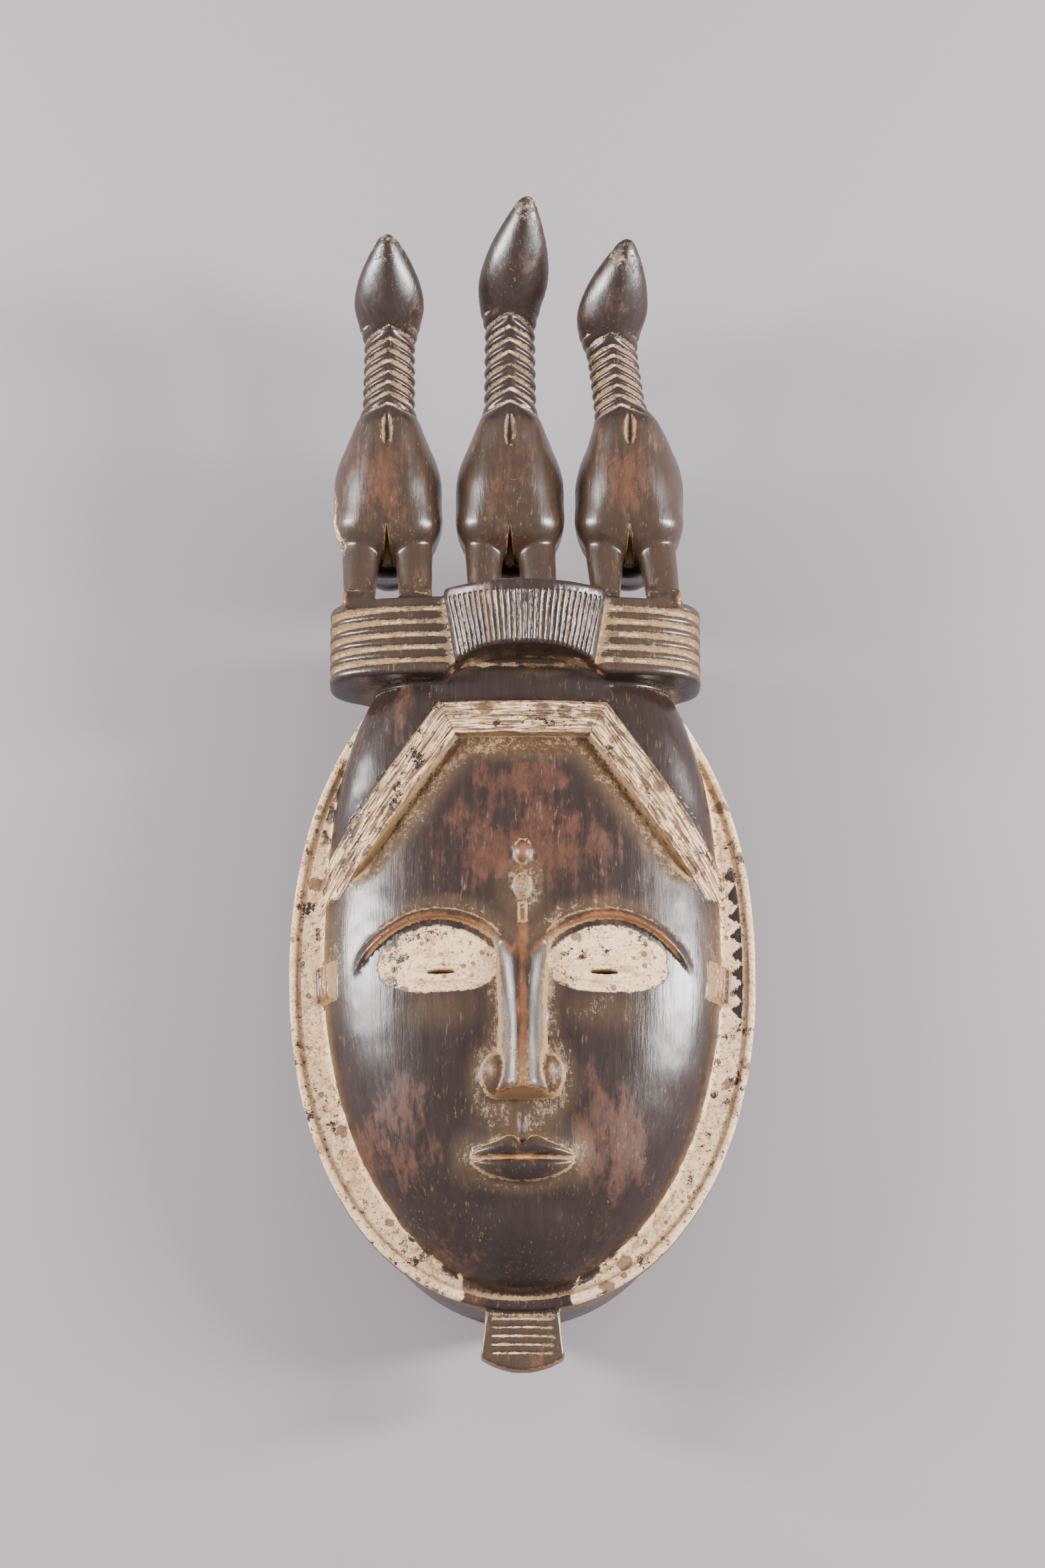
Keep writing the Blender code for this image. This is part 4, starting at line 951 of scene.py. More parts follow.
def tab_cut(points, normals):
    """Share of full depth of the level grooves on the chin tab."""
    x, y, z = points.T
    top_y = HEAD_CENTRE_Y - COLLAR_BELOW
    pitch = (top_y - TAB_BOTTOM_Y) / (TAB_GROOVES + 1.8)
    row = (top_y - y) / pitch - 0.9 + 0.08 * noise(points, 0.01, 7)
    aside = np.abs(row - np.clip(np.round(row), 0, TAB_GROOVES - 1))
    within = plateau(np.abs(x), TAB_TOP_HALF_WIDTH - 0.0024, 0.0008)
    within = within * (normals[:, 2] > 0.5) * (y < top_y - 0.001)
    return np.clip(1.0 - aside / 0.26, 0.0, 1.0) * within * (z > COLLAR_FRONT - 0.006)


def strip_distance(x, y, start, end):
    """Distance in plan to a straight strip's centre line."""
    axis_x = end[0] - start[0]
    axis_y = end[1] - start[1]
    along = ((x - start[0]) * axis_x + (y - start[1]) * axis_y) / (axis_x ** 2 + axis_y ** 2)
    along = np.clip(along, 0.0, 1.0)
    return np.hypot(x - start[0] - along * axis_x, y - start[1] - along * axis_y)


def hair_scores(points):
    """Share of full depth of the short cut that runs up from each corner of the band."""
    x, y, _ = points.T
    start = (BAND_CORNER_X + 0.0035, BAND_TOP_Y + 0.5 * BAND_WIDTH)
    end = (BAND_CORNER_X + 0.0060, BAND_TOP_Y + 0.5 * BAND_WIDTH + 0.0085)
    away = strip_distance(np.abs(x), y, start, end)
    return np.clip(1.0 - away / 0.0006, 0.0, 1.0) * on_the_face(points)


def foot_cracks(points):
    """Thin cracks round the feet of the outer birds, just above the crest."""
    x, y, z = points.T
    level = CREST_TOP_Y + 0.0030 + 0.0012 * noise(points, 0.006, 8)
    outer = np.abs(x - BIRDS[1]["foot"]) > 0.022
    return np.clip(1.0 - np.abs(y - level) / 0.0005, 0.0, 1.0) * outer * (z > BODY_Z)


def temple_cuts(points):
    """Share of full depth of the cross cuts on the scar block at the right temple."""
    x, y, z = points.T
    _, eye, _, _ = face_levels()
    row = (y - eye) / TEMPLE_HEIGHT * 3.0 + 0.5
    aside = np.abs(row - np.round(row))
    inside = (x > 0.5 * FACE_HALF_WIDTH) & (np.abs(y - eye) < 0.5 * TEMPLE_HEIGHT)
    inside &= np.abs(z - COLLAR_FRONT - 0.5 * TEMPLE_WIDTH - 0.001) < 0.5 * TEMPLE_WIDTH
    return np.clip(1.0 - aside / 0.16, 0.0, 1.0) * inside


def neck_groove_share(points):
    """How deep in a ring of a bird's neck each point is."""
    x, y, z = points.T
    total = np.zeros(len(points))
    for bird in BIRDS:
        up = (y - BREAST_Y) / (bird["neck_y"] - BREAST_Y)
        centre_x = bird["base"] + (bird["neck"] - bird["base"]) * np.clip(up, 0.0, 1.0)
        across = x - centre_x
        phase = (up + 0.35 * np.abs(across) / (bird["neck_y"] - BREAST_Y)) * NECK_RINGS
        ringed = plateau(np.abs(up - 0.48), 0.42, 0.02) * plateau(BREAST_Z - 0.001 - z, 0.0, 0.006)
        near = np.abs(across) < 1.3 * NECK_RADIUS
        total = np.maximum(total, (0.5 - 0.5 * np.cos(2.0 * math.pi * phase)) ** 1.5 * ringed * near)
    return total


def lobe_groove_share(points):
    """How deep in a groove of the crest's side lobes each point is."""
    x, y, z = points.T
    rows = (y - CREST_BOTTOM_Y) / (CREST_TOP_Y - CREST_BOTTOM_Y) * (LOBE_GROOVES + 1)
    groove = (0.5 + 0.5 * np.cos(2.0 * math.pi * rows)) ** 2
    groove *= plateau(np.abs(rows - 0.5 * (LOBE_GROOVES + 1)), 0.5 * LOBE_GROOVES, 0.2)
    return groove * plateau(LOBE_BACK + 0.012 - z, 0.0, 0.01) * (fan_side(x, z) > 0.0)


def fan_side(x, z):
    """Distance outside the fan's sides and back."""
    return np.maximum(np.abs(x - FAN_CENTRE_X) - FAN_TOP_HALF_WIDTH, LOBE_FRONT + 0.0005 - z)


def pressed(points, normals):
    """Points with the fine cuts and the unevenness of hand carving pressed into them."""
    x, y, z = points.T
    cut = FAN_CUT_DEPTH * fan_cut(points)
    cut += BAND_CUT_DEPTH * band_cut(points)
    cut += ZIGZAG_CUT_DEPTH * zigzag_cut(points, normals)
    cut += TAB_CUT_DEPTH * tab_cut(points, normals)
    cut += SCORE_DEPTH * hair_scores(points)
    cut += CRACK_DEPTH * foot_cracks(points)
    cut += TEMPLE_CUT_DEPTH * temple_cuts(points)
    outer = np.clip((z - hollow_top(x, y)) / 0.006, 0.0, 1.0)
    cut += 0.00016 * noise(points, 0.013, 11) * outer + 0.00007 * noise(points, 0.005, 12)
    cells = noise(points * (1.0, 0.6, 1.0), 0.011, 13)
    cut += 0.0006 * np.abs(cells) * (1.0 - outer) * (z > 0.004)
    return points - normals * cut[:, None]


def openness(points, normals, steep, field, reach, outward):
    """How much of the space at the given reach is wood outside the skin, or air inside it."""
    def probe(some):
        at = field(*some[:, :3].T) / (outward * reach)
        return at / np.maximum(some[:, 3], 0.3)

    places = np.column_stack([points + outward * reach * normals, steep])
    with ThreadPoolExecutor() as pool:
        share = np.concatenate(list(pool.map(probe, np.array_split(places, len(points) // 8000 + 1))))
    return np.clip(1.0 - share, 0.0, 2.0)


def kaolin_reach(points, normals):
    """How far each point is inside a whitened area, in millimetres, negative outside."""
    x, y, z = points.T
    _, eye, _, _ = face_levels()
    face = on_the_face(points)
    over = band_signed(x, y)
    fade = (y - BAND_END_Y + 0.006)
    band = np.minimum(0.5 * BAND_WIDTH - np.abs(over) + 0.0002, 0.4 * fade)
    side = np.abs(x)
    across = np.abs(side - EYE_CENTRE_X - 0.0012) / 0.0248
    up = np.abs(y - eye - 0.0010) / np.where(y > eye + 0.0010, 0.0200, 0.0105)
    almond = (across ** 2.4 + up ** 2.4) ** (1.0 / 2.4)
    under = -brow_distance(x, y) - 0.0034
    eyes = np.minimum((1.0 - almond) * 0.0150, under)
    reach = np.where(face, np.maximum(band, eyes), -0.01)

    edge, out = collar_run(points)
    level = 0.0030 - np.abs(z - COLLAR_FRONT - 0.0006)
    collar = np.minimum(np.minimum(edge + 0.0012, out + 0.0010), level)
    in_block = (np.abs(y - eye) < 0.5 * TEMPLE_HEIGHT + 0.0012) & (z > COLLAR_FRONT + 0.0012)
    collar = np.where((y < HEAD_CENTRE_Y + COLLAR_ABOVE) & ~in_block, collar, -0.01)
    chin = plateau(np.abs(x + 0.002), 0.020, 0.008) * plateau(y - 0.004, 0.0, 0.004)
    collar = collar - 0.008 * chin
    inside, kept = zigzag_sides(points)
    collar = collar - 0.0030 * inside * np.clip(1.6 * kept - 0.55, 0.0, 1.0)
    reach = np.maximum(reach, collar)

    uneven = 0.22 * noise(points, 0.0055, 15) + 0.16 * noise(points, 0.0025, 16)
    reach = np.maximum(reach, 0.0030 * (fan_cut(points) - 0.50 - uneven))
    reach = np.maximum(reach, 0.0022 * (lobe_groove_share(points) - 0.62 - uneven))
    front = np.clip(normals[:, 2], 0.0, 1.0)
    reach = np.maximum(reach, 0.0022 * (neck_groove_share(points) - 0.60 - 0.5 * (1.0 - front) - uneven))
    reach = np.maximum(reach, 0.0022 * (tab_cut(points, normals) - 0.55 - uneven))
    for bird in BIRDS:
        tip = (bird["tip"], bird["tip_y"], BREAST_Z + 0.032)
        away = np.linalg.norm((points - tip) * (1.0, 1.0, 0.7), axis=1)
        reach = np.maximum(reach, np.clip(0.50 * (0.0080 - away), -0.01, 0.0001))
    left = BIRDS[0]
    flank = np.hypot((y - 0.302) / 0.030, (z - 0.062) / 0.014)
    crust = np.where(x < left["body"] - 0.45 * BODY_RADIUS, (1.0 - flank) * 0.0035, -0.01)
    return 1000.0 * np.minimum(np.maximum(reach, np.minimum(crust, 0.0002)), KAOLIN_CAP)


def dust_share(points):
    """Wide soft halos of tan dust beside the raised parts of the face, from 0 to 1."""
    x, y, z = points.T
    side = np.abs(x)
    brow, eye, nose_base, mouth = face_levels()
    over = band_signed(x, y) + 0.5 * BAND_WIDTH
    above_brow = brow_distance(x, y)
    beside_band = bump(over + 0.0045, 0.0105) * plateau(BAND_END_Y - 0.004 - y, 0.0, 0.016)
    halo = 1.05 * beside_band
    halo = np.maximum(halo, 0.70 * bump(above_brow - 0.0052, 0.0058) * plateau(side, 0.058, 0.020))
    halo = np.maximum(halo, 1.05 * bump(np.hypot(x / 0.015, (y - brow - 0.011) / 0.026), 1.0))
    up = np.clip((y - nose_base) / (brow - nose_base), 0.0, 1.0)
    from_nose = side - 0.0125 + 0.0030 * np.sin(math.pi * up ** 0.8)
    along_nose = plateau(np.abs(y - 0.5 * (brow + nose_base)), 0.5 * (brow - nose_base), 0.012)
    halo = np.maximum(halo, 0.95 * bump(from_nose - 0.0010, 0.0085) * along_nose)
    wing = np.hypot((side - 0.0100) / 0.0110, (y - nose_base - 0.0070) / 0.0150)
    halo = np.maximum(halo, 0.95 * bump(wing - 0.80, 0.55))
    under_nose = np.hypot(side / 0.0220, (y - nose_base + 0.0100) / 0.0120)
    halo = np.maximum(halo, 0.80 * bump(under_nose, 1.15))
    corner = np.hypot((side - LIP_HALF_LENGTH - 0.001) / 0.0100, (y - mouth) / 0.0150)
    halo = np.maximum(halo, 0.95 * bump(corner, 1.0))
    below_lips = np.hypot(side / (1.15 * LIP_HALF_LENGTH), (y - mouth + 0.0010) / 0.0120)
    halo = np.maximum(halo, 0.75 * bump(below_lips - 0.85, 0.35))
    below_eye = np.hypot((side - EYE_CENTRE_X) / 0.030, (y - eye + 0.016) / 0.013)
    halo = np.maximum(halo, 0.60 * bump(below_eye, 1.0))
    temple = np.hypot((side - 0.078) / 0.014, (y - eye - 0.010) / 0.036)
    halo = np.maximum(halo, 0.85 * bump(temple, 1.0))
    halo = np.where(on_the_face(points), halo, 0.0)
    tab = (y < HEAD_CENTRE_Y - COLLAR_BELOW - 0.001) & (z > COLLAR_FRONT - 0.006)
    halo = np.where(tab, 0.45, halo)
    crest = (y > CREST_BOTTOM_Y + 0.001) & (y < CREST_TOP_Y) & (fan_side(x, z) > 0.0) & (z > LOBE_BACK)
    halo = np.where(crest, 0.30 + 0.20 * (x > 0.0), halo)
    belly = (y > CREST_TOP_Y + 0.002) & (y < BREAST_Y) & (z > BODY_Z + 0.004)
    return np.where(belly, 0.32, halo)


def polish_share(points):
    """Raised parts that hands have rubbed to warm brown, from 0 to 1."""
    x, y, z = points.T
    side = np.abs(x)
    brow, eye, nose_base, mouth = face_levels()
    share = 0.9 * bump(brow_distance(x, y), 0.0036) * plateau(side, 0.062, 0.010)
    from_middle = np.abs(y - 0.5 * (brow + nose_base))
    bridge = bump(side, 0.0055) * plateau(from_middle, 0.5 * (brow - nose_base) + 0.004, 0.008)
    share = np.maximum(share, bridge)
    wing = np.hypot((side - 0.0102) / 0.0075, (y - nose_base - 0.0080) / 0.0100)
    share = np.maximum(share, 0.9 * bump(wing, 1.1))
    lips = np.hypot(side / LIP_HALF_LENGTH, (y - mouth) / 0.0062)
    share = np.maximum(share, 0.75 * bump(lips, 1.1))
    for height in (0.000, 0.012, 0.026):
        boss = np.hypot(x / 0.0040, (y - brow - height) / 0.0060)
        share = np.maximum(share, bump(boss, 1.1))
    in_block = (np.abs(y - eye) < 0.5 * TEMPLE_HEIGHT + 0.001) & (side > 0.070)
    in_block = in_block & (z < COLLAR_FRONT + TEMPLE_WIDTH)
    return np.where(on_the_face(points), np.maximum(share, 0.9 * in_block), 0.0)


def band_places(points):
    """Place across and along the hair band in millimetres, and whether it is in the band."""
    x, y, _ = points.T
    side = np.abs(x)
    slant = np.array([BAND_END_X - BAND_CORNER_X, BAND_END_Y - BAND_TOP_Y])
    slant /= np.linalg.norm(slant)
    over = band_signed(x, y)
    run = BAND_CORNER_X + (side - BAND_CORNER_X) * slant[0] + (y - BAND_TOP_Y) * slant[1]
    over_slant = (side - BAND_CORNER_X) * -slant[1] + (y - BAND_TOP_Y) * slant[0]
    along = np.where(over_slant > y - BAND_TOP_Y, np.sign(x) * run, x)
    inside = (np.abs(over) < 0.5 * BAND_WIDTH + 0.0006) & (on_the_face(points) > 0) & (y > BAND_END_Y - 0.008)
    return np.column_stack([1000.0 * over, 1000.0 * along, 0.0 * along]), inside


def rubbed_share(points):
    """Where handling has worn the black stain through to red brown, from 0 to 1."""
    x, y, z = points.T
    face = on_the_face(points)
    forehead = bump(np.hypot((x + 0.006) / 0.066, (y - 0.174) / 0.030), 1.0)
    forehead = np.maximum(forehead, 0.8 * bump(np.hypot((x - 0.002) / 0.030, (y - 0.200) / 0.011), 1.0))
    cheeks = bump(np.hypot((np.abs(x + 0.004) - 0.040) / 0.026, (y - 0.062) / 0.036), 1.0)
    share = np.where(face, np.maximum(forehead, 0.9 * cheeks), 0.0)
    belly = np.zeros(len(points))
    for bird in BIRDS:
        away = np.hypot((x - bird["body"]) / 0.019, (y - 0.322) / 0.026)
        belly = np.maximum(belly, bump(away, 1.0) * (z > BODY_Z + 0.006))
    return np.maximum(share, belly)


def paint_values(points, normals, steep):
    """The values at each point that the wood material reads."""
    x, y, z = points.T
    near = openness(points, normals, steep, carved_field, 0.0012, 1.0)
    wide = openness(points, normals, steep, carved_field, 0.0045, 1.0)
    edges = openness(points, normals, steep, carved_field, 0.0012, -1.0)
    cavity = np.clip(0.9 * near + 0.75 * wide - 0.10, 0.0, 1.5)
    cavity += 0.8 * fan_cut(points) + 0.45 * band_cut(points) + 0.5 * zigzag_cut(points, normals)
    cavity += 0.6 * tab_cut(points, normals) + 0.7 * hair_scores(points) + 0.6 * foot_cracks(points)
    cavity += 0.5 * neck_groove_share(points) + 0.5 * lobe_groove_share(points) + 0.7 * temple_cuts(points)
    edge, _ = collar_run(points)
    wall = (z < COLLAR_FRONT - 0.001) & (y < CREST_BOTTOM_Y - 0.01) & (z > 0.001) & (z < 0.05) & (edge < 0.02)
    outer_wall = wall & (normals[:, 2] < 0.5) & (z < 0.049)
    fading = np.clip((z - 0.003) / 0.030, 0.0, 1.0) * np.clip((CREST_BOTTOM_Y - 0.012 - y) / 0.080, 0.0, 1.0)
    hollow = np.clip((hollow_top(x, y) + 0.003 - z) / 0.002, 0.0, 1.0) * (edge > 0.006) * (z > 0.0005)
    return {
        "kaolin": kaolin_reach(points, normals),
        "cavity": cavity,
        "ridge": np.clip(edges - 0.06, 0.0, 1.0),
        "rubbed": rubbed_share(points),
        "dust": dust_share(points),
        "polish": polish_share(points),
        "stained": outer_wall * fading,
        "hollow": hollow,
    }


def socket(tree, target, value):
    """Sets a socket to a value, or links another node's output into it."""
    if isinstance(value, Wire):
        tree.links.new(value.output, target)
    else:
        target.default_value = value


def scalar(operation, tree, first, second):
    """Output of one arithmetic node."""
    node = tree.nodes.new("ShaderNodeMath")
    node.operation = operation
    socket(tree, node.inputs[0], first)
    socket(tree, node.inputs[1], second)
    return Wire(tree, node.outputs[0])


class Wire:
    """An output of a node: plain arithmetic on it adds the nodes that work it out."""

    def __init__(self, tree, output):
        self.tree = tree
        self.output = output

    def __add__(self, other):
        return scalar("ADD", self.tree, self, other)

    def __radd__(self, other):
        return scalar("ADD", self.tree, other, self)

    def __sub__(self, other):
        return scalar("SUBTRACT", self.tree, self, other)

    def __mul__(self, other):
        return scalar("MULTIPLY", self.tree, self, other)


class Layers:
    """Short names for the nodes that the material is built from."""

    def __init__(self, tree):
        self.tree = tree
        self.place = Wire(tree, tree.nodes.new("ShaderNodeTexCoord").outputs["Object"])

    def value(self, name, output="Fac"):
        """A value stored at the mesh points."""
        node = self.tree.nodes.new("ShaderNodeAttribute")
        node.attribute_name = name
        return Wire(self.tree, node.outputs[output])

    def most(self, first, second):
        """The larger of two values."""
        return scalar("MAXIMUM", self.tree, first, second)

    def scaled(self, place, shift, scale):
        """A place moved and scaled."""
        mapping = self.tree.nodes.new("ShaderNodeMapping")
        socket(self.tree, mapping.inputs["Vector"], place)
        mapping.inputs["Location"].default_value = shift
        mapping.inputs["Scale"].default_value = scale
        return Wire(self.tree, mapping.outputs[0])

    def noise(self, size, detail=4.0, roughness=0.6, stretch=(1.0, 1.0, 1.0), shift=0.0, place=None):
        """Noise from 0 to 1 with lumps of the given size, at the object's own places or given ones."""
        scale = [share / size for share in stretch]
        where = self.scaled(place or self.place, (shift, 0.7 * shift, 1.3 * shift), scale)
        node = self.tree.nodes.new("ShaderNodeTexNoise")
        node.inputs["Scale"].default_value = 1.0
        node.inputs["Detail"].default_value = detail
        node.inputs["Roughness"].default_value = roughness
        socket(self.tree, node.inputs["Vector"], where)
        return Wire(self.tree, node.outputs["Fac"])

    def spots(self, size, shift=0.0):
        """Distance to the nearest of scattered points, in shares of the given size."""
        where = self.scaled(self.place, (shift,) * 3, (1.0 / size,) * 3)
        node = self.tree.nodes.new("ShaderNodeTexVoronoi")
        node.inputs["Scale"].default_value = 1.0
        socket(self.tree, node.inputs["Vector"], where)
        return [Wire(self.tree, node.outputs[name]) for name in ("Distance", "Color")]

    def brightness(self, colour_output):
        """Brightness of a colour."""
        node = self.tree.nodes.new("ShaderNodeRGBToBW")
        socket(self.tree, node.inputs["Color"], colour_output)
        return Wire(self.tree, node.outputs["Val"])

    def rise(self, value, start, end):
        """0 below the start value, 1 above the end value, smooth between."""
        node = self.tree.nodes.new("ShaderNodeMapRange")
        node.interpolation_type = "SMOOTHSTEP"
        socket(self.tree, node.inputs["Value"], value)
        node.inputs["From Min"].default_value = start
        node.inputs["From Max"].default_value = end
        return Wire(self.tree, node.outputs["Result"])

    def mix(self, share, first, second):
        """Colour between the first, at share 0, and the second, at share 1."""
        node = self.tree.nodes.new("ShaderNodeMix")
        node.data_type = "RGBA"
        socket(self.tree, node.inputs[0], share)
        socket(self.tree, node.inputs[6], first)
        socket(self.tree, node.inputs[7], second)
        return Wire(self.tree, node.outputs[2])


def colour(red, green, blue):
    """Linear colour of an sRGB colour given from 0 to 255."""
    shares = np.array([red, green, blue]) / 255.0
    linear = np.where(shares <= 0.04045, shares / 12.92, ((shares + 0.055) / 1.055) ** 2.4)
    return (*linear.tolist(), 1.0)


def carved_wood():
    """Blackened wood, worn to red brown and orange, with tan dirt in its hollows and kaolin."""
    material = bpy.data.materials.new("carved_wood")
    material.use_nodes = True
    tree = material.node_tree
    shader = tree.nodes["Principled BSDF"]
    layers = Layers(tree)
    names = ("kaolin", "cavity", "ridge", "rubbed", "stained", "hollow", "dust", "polish")
    kaolin, cavity, ridge, rubbed, stained, hollow, dust, polish = [layers.value(name) for name in names]

    # Wood: black stain over red brown, streaked along the mask
    grain = layers.noise(0.0024, 6.0, 0.65, (1.0, 0.07, 1.0))
    fine = layers.noise(0.0007, 3.0, 0.6, (1.0, 0.12, 1.0), 2.0)
    blotch = layers.noise(0.030, 7.0, 0.68, (1.0, 0.55, 1.0), 5.0)
    patch = layers.noise(0.011, 6.0, 0.7, (1.0, 0.5, 1.0), 9.0)
    worn = blotch + rubbed * 0.2
    worn = worn + (patch - 0.5) * 0.55
    worn = worn + (grain - 0.5) * 0.34
    worn = layers.rise(worn, 0.57, 0.72)
    black = layers.mix(grain, colour(23, 16, 15), colour(54, 39, 34))
    red = layers.mix(patch, colour(60, 34, 25), colour(106, 65, 45))
    mottle = layers.rise(layers.noise(0.0030, 8.0, 0.75, (1.0, 0.45, 1.0), 25.0), 0.40, 0.58)
    thin = worn * (0.35 + mottle * 0.5)
    wood = layers.mix(thin, black, red)
    orange = layers.mix(patch, colour(108, 62, 34), colour(160, 98, 52))
    rub = ridge + (patch - 0.5) * 0.45
    rub = rub + polish * 0.34
    rub = rub + (grain - 0.5) * 0.3
    rub = layers.rise(rub, 0.18, 0.44) * 0.72
    wood = layers.mix(rub, wood, orange)
    pores = layers.rise(layers.noise(0.0010, 3.0, 0.6, (1.0, 0.16, 1.0), 17.0), 0.585, 0.70)
    pores = pores * layers.rise(layers.noise(0.018, 4.0, 0.6, shift=19.0), 0.4, 0.66)
    wood = layers.mix(pores * 0.55, wood, colour(132, 106, 82))
    inner = layers.mix(blotch, colour(48, 34, 26), colour(88, 62, 42))
    wood = layers.mix(hollow * 0.8, wood, inner)

    # Tan dirt that fills hollows
    crumb = layers.noise(0.0021, 8.0, 0.72, shift=3.0)
    cloud = layers.noise(0.016, 5.0, 0.6, shift=7.0)
    dirt = cavity + (crumb - 0.5) * 1.1
    dirt = dirt + (cloud - 0.5) * 1.0
    washed = patch * 1.9 + -0.15
    dirt = dirt + stained * washed
    streak = layers.noise(0.0032, 6.0, 0.7, (1.0, 0.22, 1.0), 21.0)
    streaky = 0.45 + streak * 1.1
    dusty = dust * streaky
    dirt = dirt + dusty * 0.6
    grit = layers.noise(0.0008, 4.0, 0.7, (1.0, 0.5, 1.0), 27.0)
    dirt = dirt + (grit - 0.5) * 0.9
    dirt = layers.rise(dirt, 0.42, 0.95) * 0.78
    dirt = layers.most(dirt, dusty * 0.16)
    tan = layers.mix(crumb, colour(124, 92, 56), colour(196, 160, 112))
    tan = layers.mix(stained, tan, layers.mix(crumb, colour(112, 78, 40), colour(178, 132, 76)))
    body = layers.mix(dirt, wood, tan)

    # Kaolin: chalky, pitted and stained
    ragged = (crumb - 0.5) * 2.6
    ragged = ragged + (cloud - 0.42) * -2.4
    flaked = layers.rise(layers.noise(0.0065, 9.0, 0.82, shift=31.0), 0.535, 0.600)
    where = layers.rise(layers.noise(0.035, 3.0, 0.6, shift=33.0), 0.38, 0.62)
    flaked = flaked * where * -2.2
    ragged = ragged + flaked
    cover = layers.rise(kaolin + ragged, -0.1, 0.55)
    distance, shade = layers.spots(0.0046, 4.0)
    size = layers.brightness(shade) * 0.36
    spot = layers.rise(size - distance, 0.0, 0.06)
    spread = layers.rise(layers.noise(0.022, 4.0, 0.6, shift=11.0), 0.36, 0.52)
    spot = spot * spread
    flecks = layers.rise(layers.noise(0.0013, 5.0, 0.75, shift=13.0), 0.565, 0.64)
    distance, shade = layers.spots(0.0105, 23.0)
    size = layers.brightness(shade) * 0.5 - 0.09
    blot = size + (crumb - 0.5) * 0.45
    blot = layers.rise(blot - distance, 0.0, 0.05)
    spot = layers.most(spot, blot)
    chalk = layers.mix(cloud, colour(248, 216, 180), colour(226, 186, 140))
    stain = layers.rise(layers.noise(0.0085, 7.0, 0.75, shift=29.0), 0.50, 0.64)
    chalk = layers.mix(stain * 0.6, chalk, colour(176, 132, 84))
    crumbs = layers.rise(crumb, 0.46, 0.7) * 0.52
    chalk = layers.mix(crumbs, chalk, colour(150, 112, 74))
    band = layers.value("band_place", "Vector")
    strokes = layers.noise(1.0, 3.0, 0.55, (1.05, 0.085, 0.0), 3.0, band)
    strokes = layers.rise(strokes, 0.47, 0.60)
    scratches = layers.rise(layers.noise(0.55, 2.0, 0.5, (1.0, 0.06, 0.0), 8.0, band), 0.52, 0.62)
    strokes = layers.most(strokes, scratches * 0.8)
    strokes = strokes * layers.value("band_inside")
    chalk = layers.mix(strokes * 0.95, chalk, colour(88, 62, 42))
    filled = layers.rise(cavity, 0.35, 0.95) * 0.55
    chalk = layers.mix(filled, chalk, colour(128, 100, 66))
    chalk = layers.mix(spot * 0.8, chalk, colour(92, 64, 42))
    chalk = layers.mix(flecks * 0.65, chalk, colour(66, 48, 36))
    skin = layers.mix(cover, body, chalk)
    socket(tree, shader.inputs["Base Color"], skin)

    # Gloss: hand polish on bare wood, none on dirt and kaolin
    smear = (blotch - 0.5) * 0.3
    gloss = smear + 0.28 + worn * 0.1
    gloss = gloss + (grain - 0.5) * 0.14
    gloss = layers.most(gloss, hollow * 0.68)
    matt = layers.most(dirt * 0.85, cover * 0.9)
    socket(tree, shader.inputs["Roughness"], layers.most(gloss, matt))
    shader.inputs["Specular IOR Level"].default_value = 0.50

    # Relief finer than the mesh
    height = grain * 0.00014
    height = height + fine * 5e-05
    crust = crumb * dirt * 0.00028
    thickness = 0.00016 + crumb * 0.00016
    layer = cover * thickness
    pitted = layers.most(spot, flecks) * cover
    pits = pitted * -0.00014
    pits = pits + strokes * -0.00032
    for part in (crust, layer, pits):
        height = height + part
    relief = tree.nodes.new("ShaderNodeBump")
    relief.inputs["Strength"].default_value = 1.0
    relief.inputs["Distance"].default_value = 1.0
    socket(tree, relief.inputs["Height"], height)
    tree.links.new(relief.outputs["Normal"], shader.inputs["Normal"])
    return material


def plain_material(name, shade, roughness):
    """One flat finish for the floor."""
    material = bpy.data.materials.new(name)
    material.use_nodes = True
    shader = material.node_tree.nodes["Principled BSDF"]
    shader.inputs["Base Color"].default_value = colour(*shade)
    shader.inputs["Roughness"].default_value = roughness
    return material


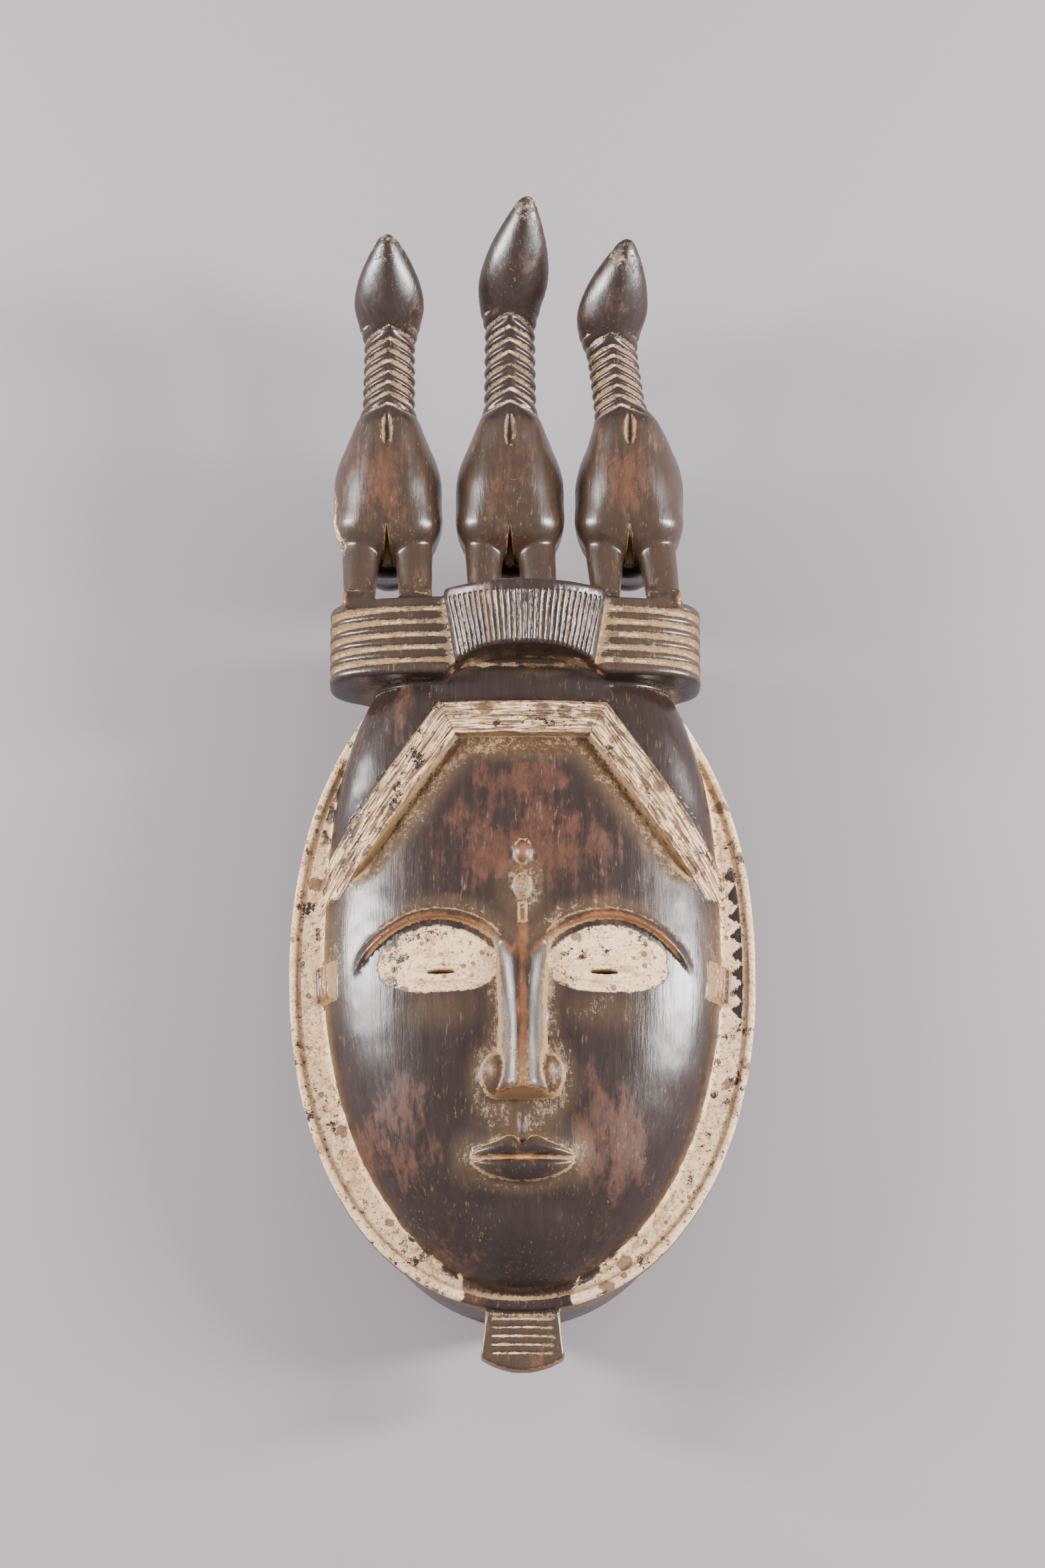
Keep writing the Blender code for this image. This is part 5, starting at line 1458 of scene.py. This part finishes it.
def carving():
    """The visible mask: netted, refined where it is fine, and painted with its values."""
    low = np.array((-COLLAR_HALF_WIDTH, TAB_BOTTOM_Y, 0.0)) - NET_MARGIN
    top_y = max(bird["tip_y"] for bird in BIRDS) + 0.016
    high = np.array((COLLAR_HALF_WIDTH, top_y, FAN_FRONT + 0.012)) + NET_MARGIN
    step = NET_STEP
    points, quads = surface_net(rough_field, low, high, step)
    points, faces = thinned(points, quads, NET_TRIANGLES)
    points = settled(points, carved_field, 3)
    points, faces = refined(points, faces, wanted_edge, carved_field)
    points = settled(points, carved_field, 1)
    points = pressed(points, skin_normals(points)[0])
    points, faces = thinned(points, faces, CARVING_TRIANGLES)
    points, faces = refined(points, faces, painted_edge)
    skin = settled(points, carved_field, 2)
    normals, steep = skin_normals(skin)
    values = paint_values(skin, normals, steep)
    places, values["band_inside"] = band_places(skin)
    points = np.clip(points, *cad_box)
    mesh = mesh_of("mask_carving", points, faces)
    mesh.shade_smooth()
    for name, value in values.items():
        mesh.attributes.new(name, "FLOAT", "POINT").data.foreach_set("value", value.astype(np.float32))
    strips = mesh.attributes.new("band_place", "FLOAT_VECTOR", "POINT")
    strips.data.foreach_set("vector", places.astype(np.float32).ravel())
    mesh.materials.append(carved_wood())
    piece = bpy.data.objects.new("mask_carving", mesh)
    bpy.context.scene.collection.objects.link(piece)
    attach(piece, "root")
    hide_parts("mask")
    print("carving:", len(faces), "triangles")
    return piece


def floor():
    """Plain pale floor that the mask lies on."""
    bpy.ops.mesh.primitive_plane_add(size=FLOOR_SIZE, location=(0.0, CAMERA_AIM[1], -FLOOR_GAP))
    plane = bpy.context.active_object
    plane.name = "floor"
    plane.data.materials.append(plain_material("pale_floor", FLOOR_SHADE, FLOOR_ROUGHNESS))


def soft_light(name, place, watts):
    """Large rectangular light aimed at the middle of the mask."""
    data = bpy.data.lights.new(name, "AREA")
    data.shape = "RECTANGLE"
    data.size, data.size_y = BOX_SIZE
    data.energy = watts
    data.color = BOX_TINT
    lamp = bpy.data.objects.new(name, data)
    bpy.context.scene.collection.objects.link(lamp)
    lamp.location = place
    aim = Vector(CAMERA_AIM) - Vector(place)
    lamp.rotation_euler = aim.to_track_quat("-Z", "Y").to_euler()


def studio():
    """Two long soft boxes beside the mask and a pale surround."""
    soft_light("left_box", LEFT_BOX_PLACE, LEFT_BOX_WATTS)
    soft_light("right_box", RIGHT_BOX_PLACE, RIGHT_BOX_WATTS)
    world = bpy.data.worlds.new("surround")
    world.use_nodes = True
    background = world.node_tree.nodes["Background"]
    background.inputs["Color"].default_value = SURROUND_TINT
    background.inputs["Strength"].default_value = SURROUND_STRENGTH
    bpy.context.scene.world = world


def camera():
    """Camera at the photograph's viewpoint, above the lying mask and a little towards its chin."""
    tilt = math.radians(CAMERA_TILT_DEG)
    data = bpy.data.cameras.new("camera")
    data.sensor_fit = "AUTO"
    data.sensor_width = SENSOR_WIDTH_MM
    data.lens = SENSOR_WIDTH_MM * CAMERA_DISTANCE / (PHOTO_HEIGHT_PX * METRES_PER_PX)
    eye = bpy.data.objects.new("camera", data)
    bpy.context.scene.collection.objects.link(eye)
    eye.location = Vector(CAMERA_AIM) + CAMERA_DISTANCE * Vector((0.0, -math.sin(tilt), math.cos(tilt)))
    eye.rotation_euler = (tilt, 0.0, 0.0)
    bpy.context.scene.camera = eye


camera()
studio()
floor()
carving()
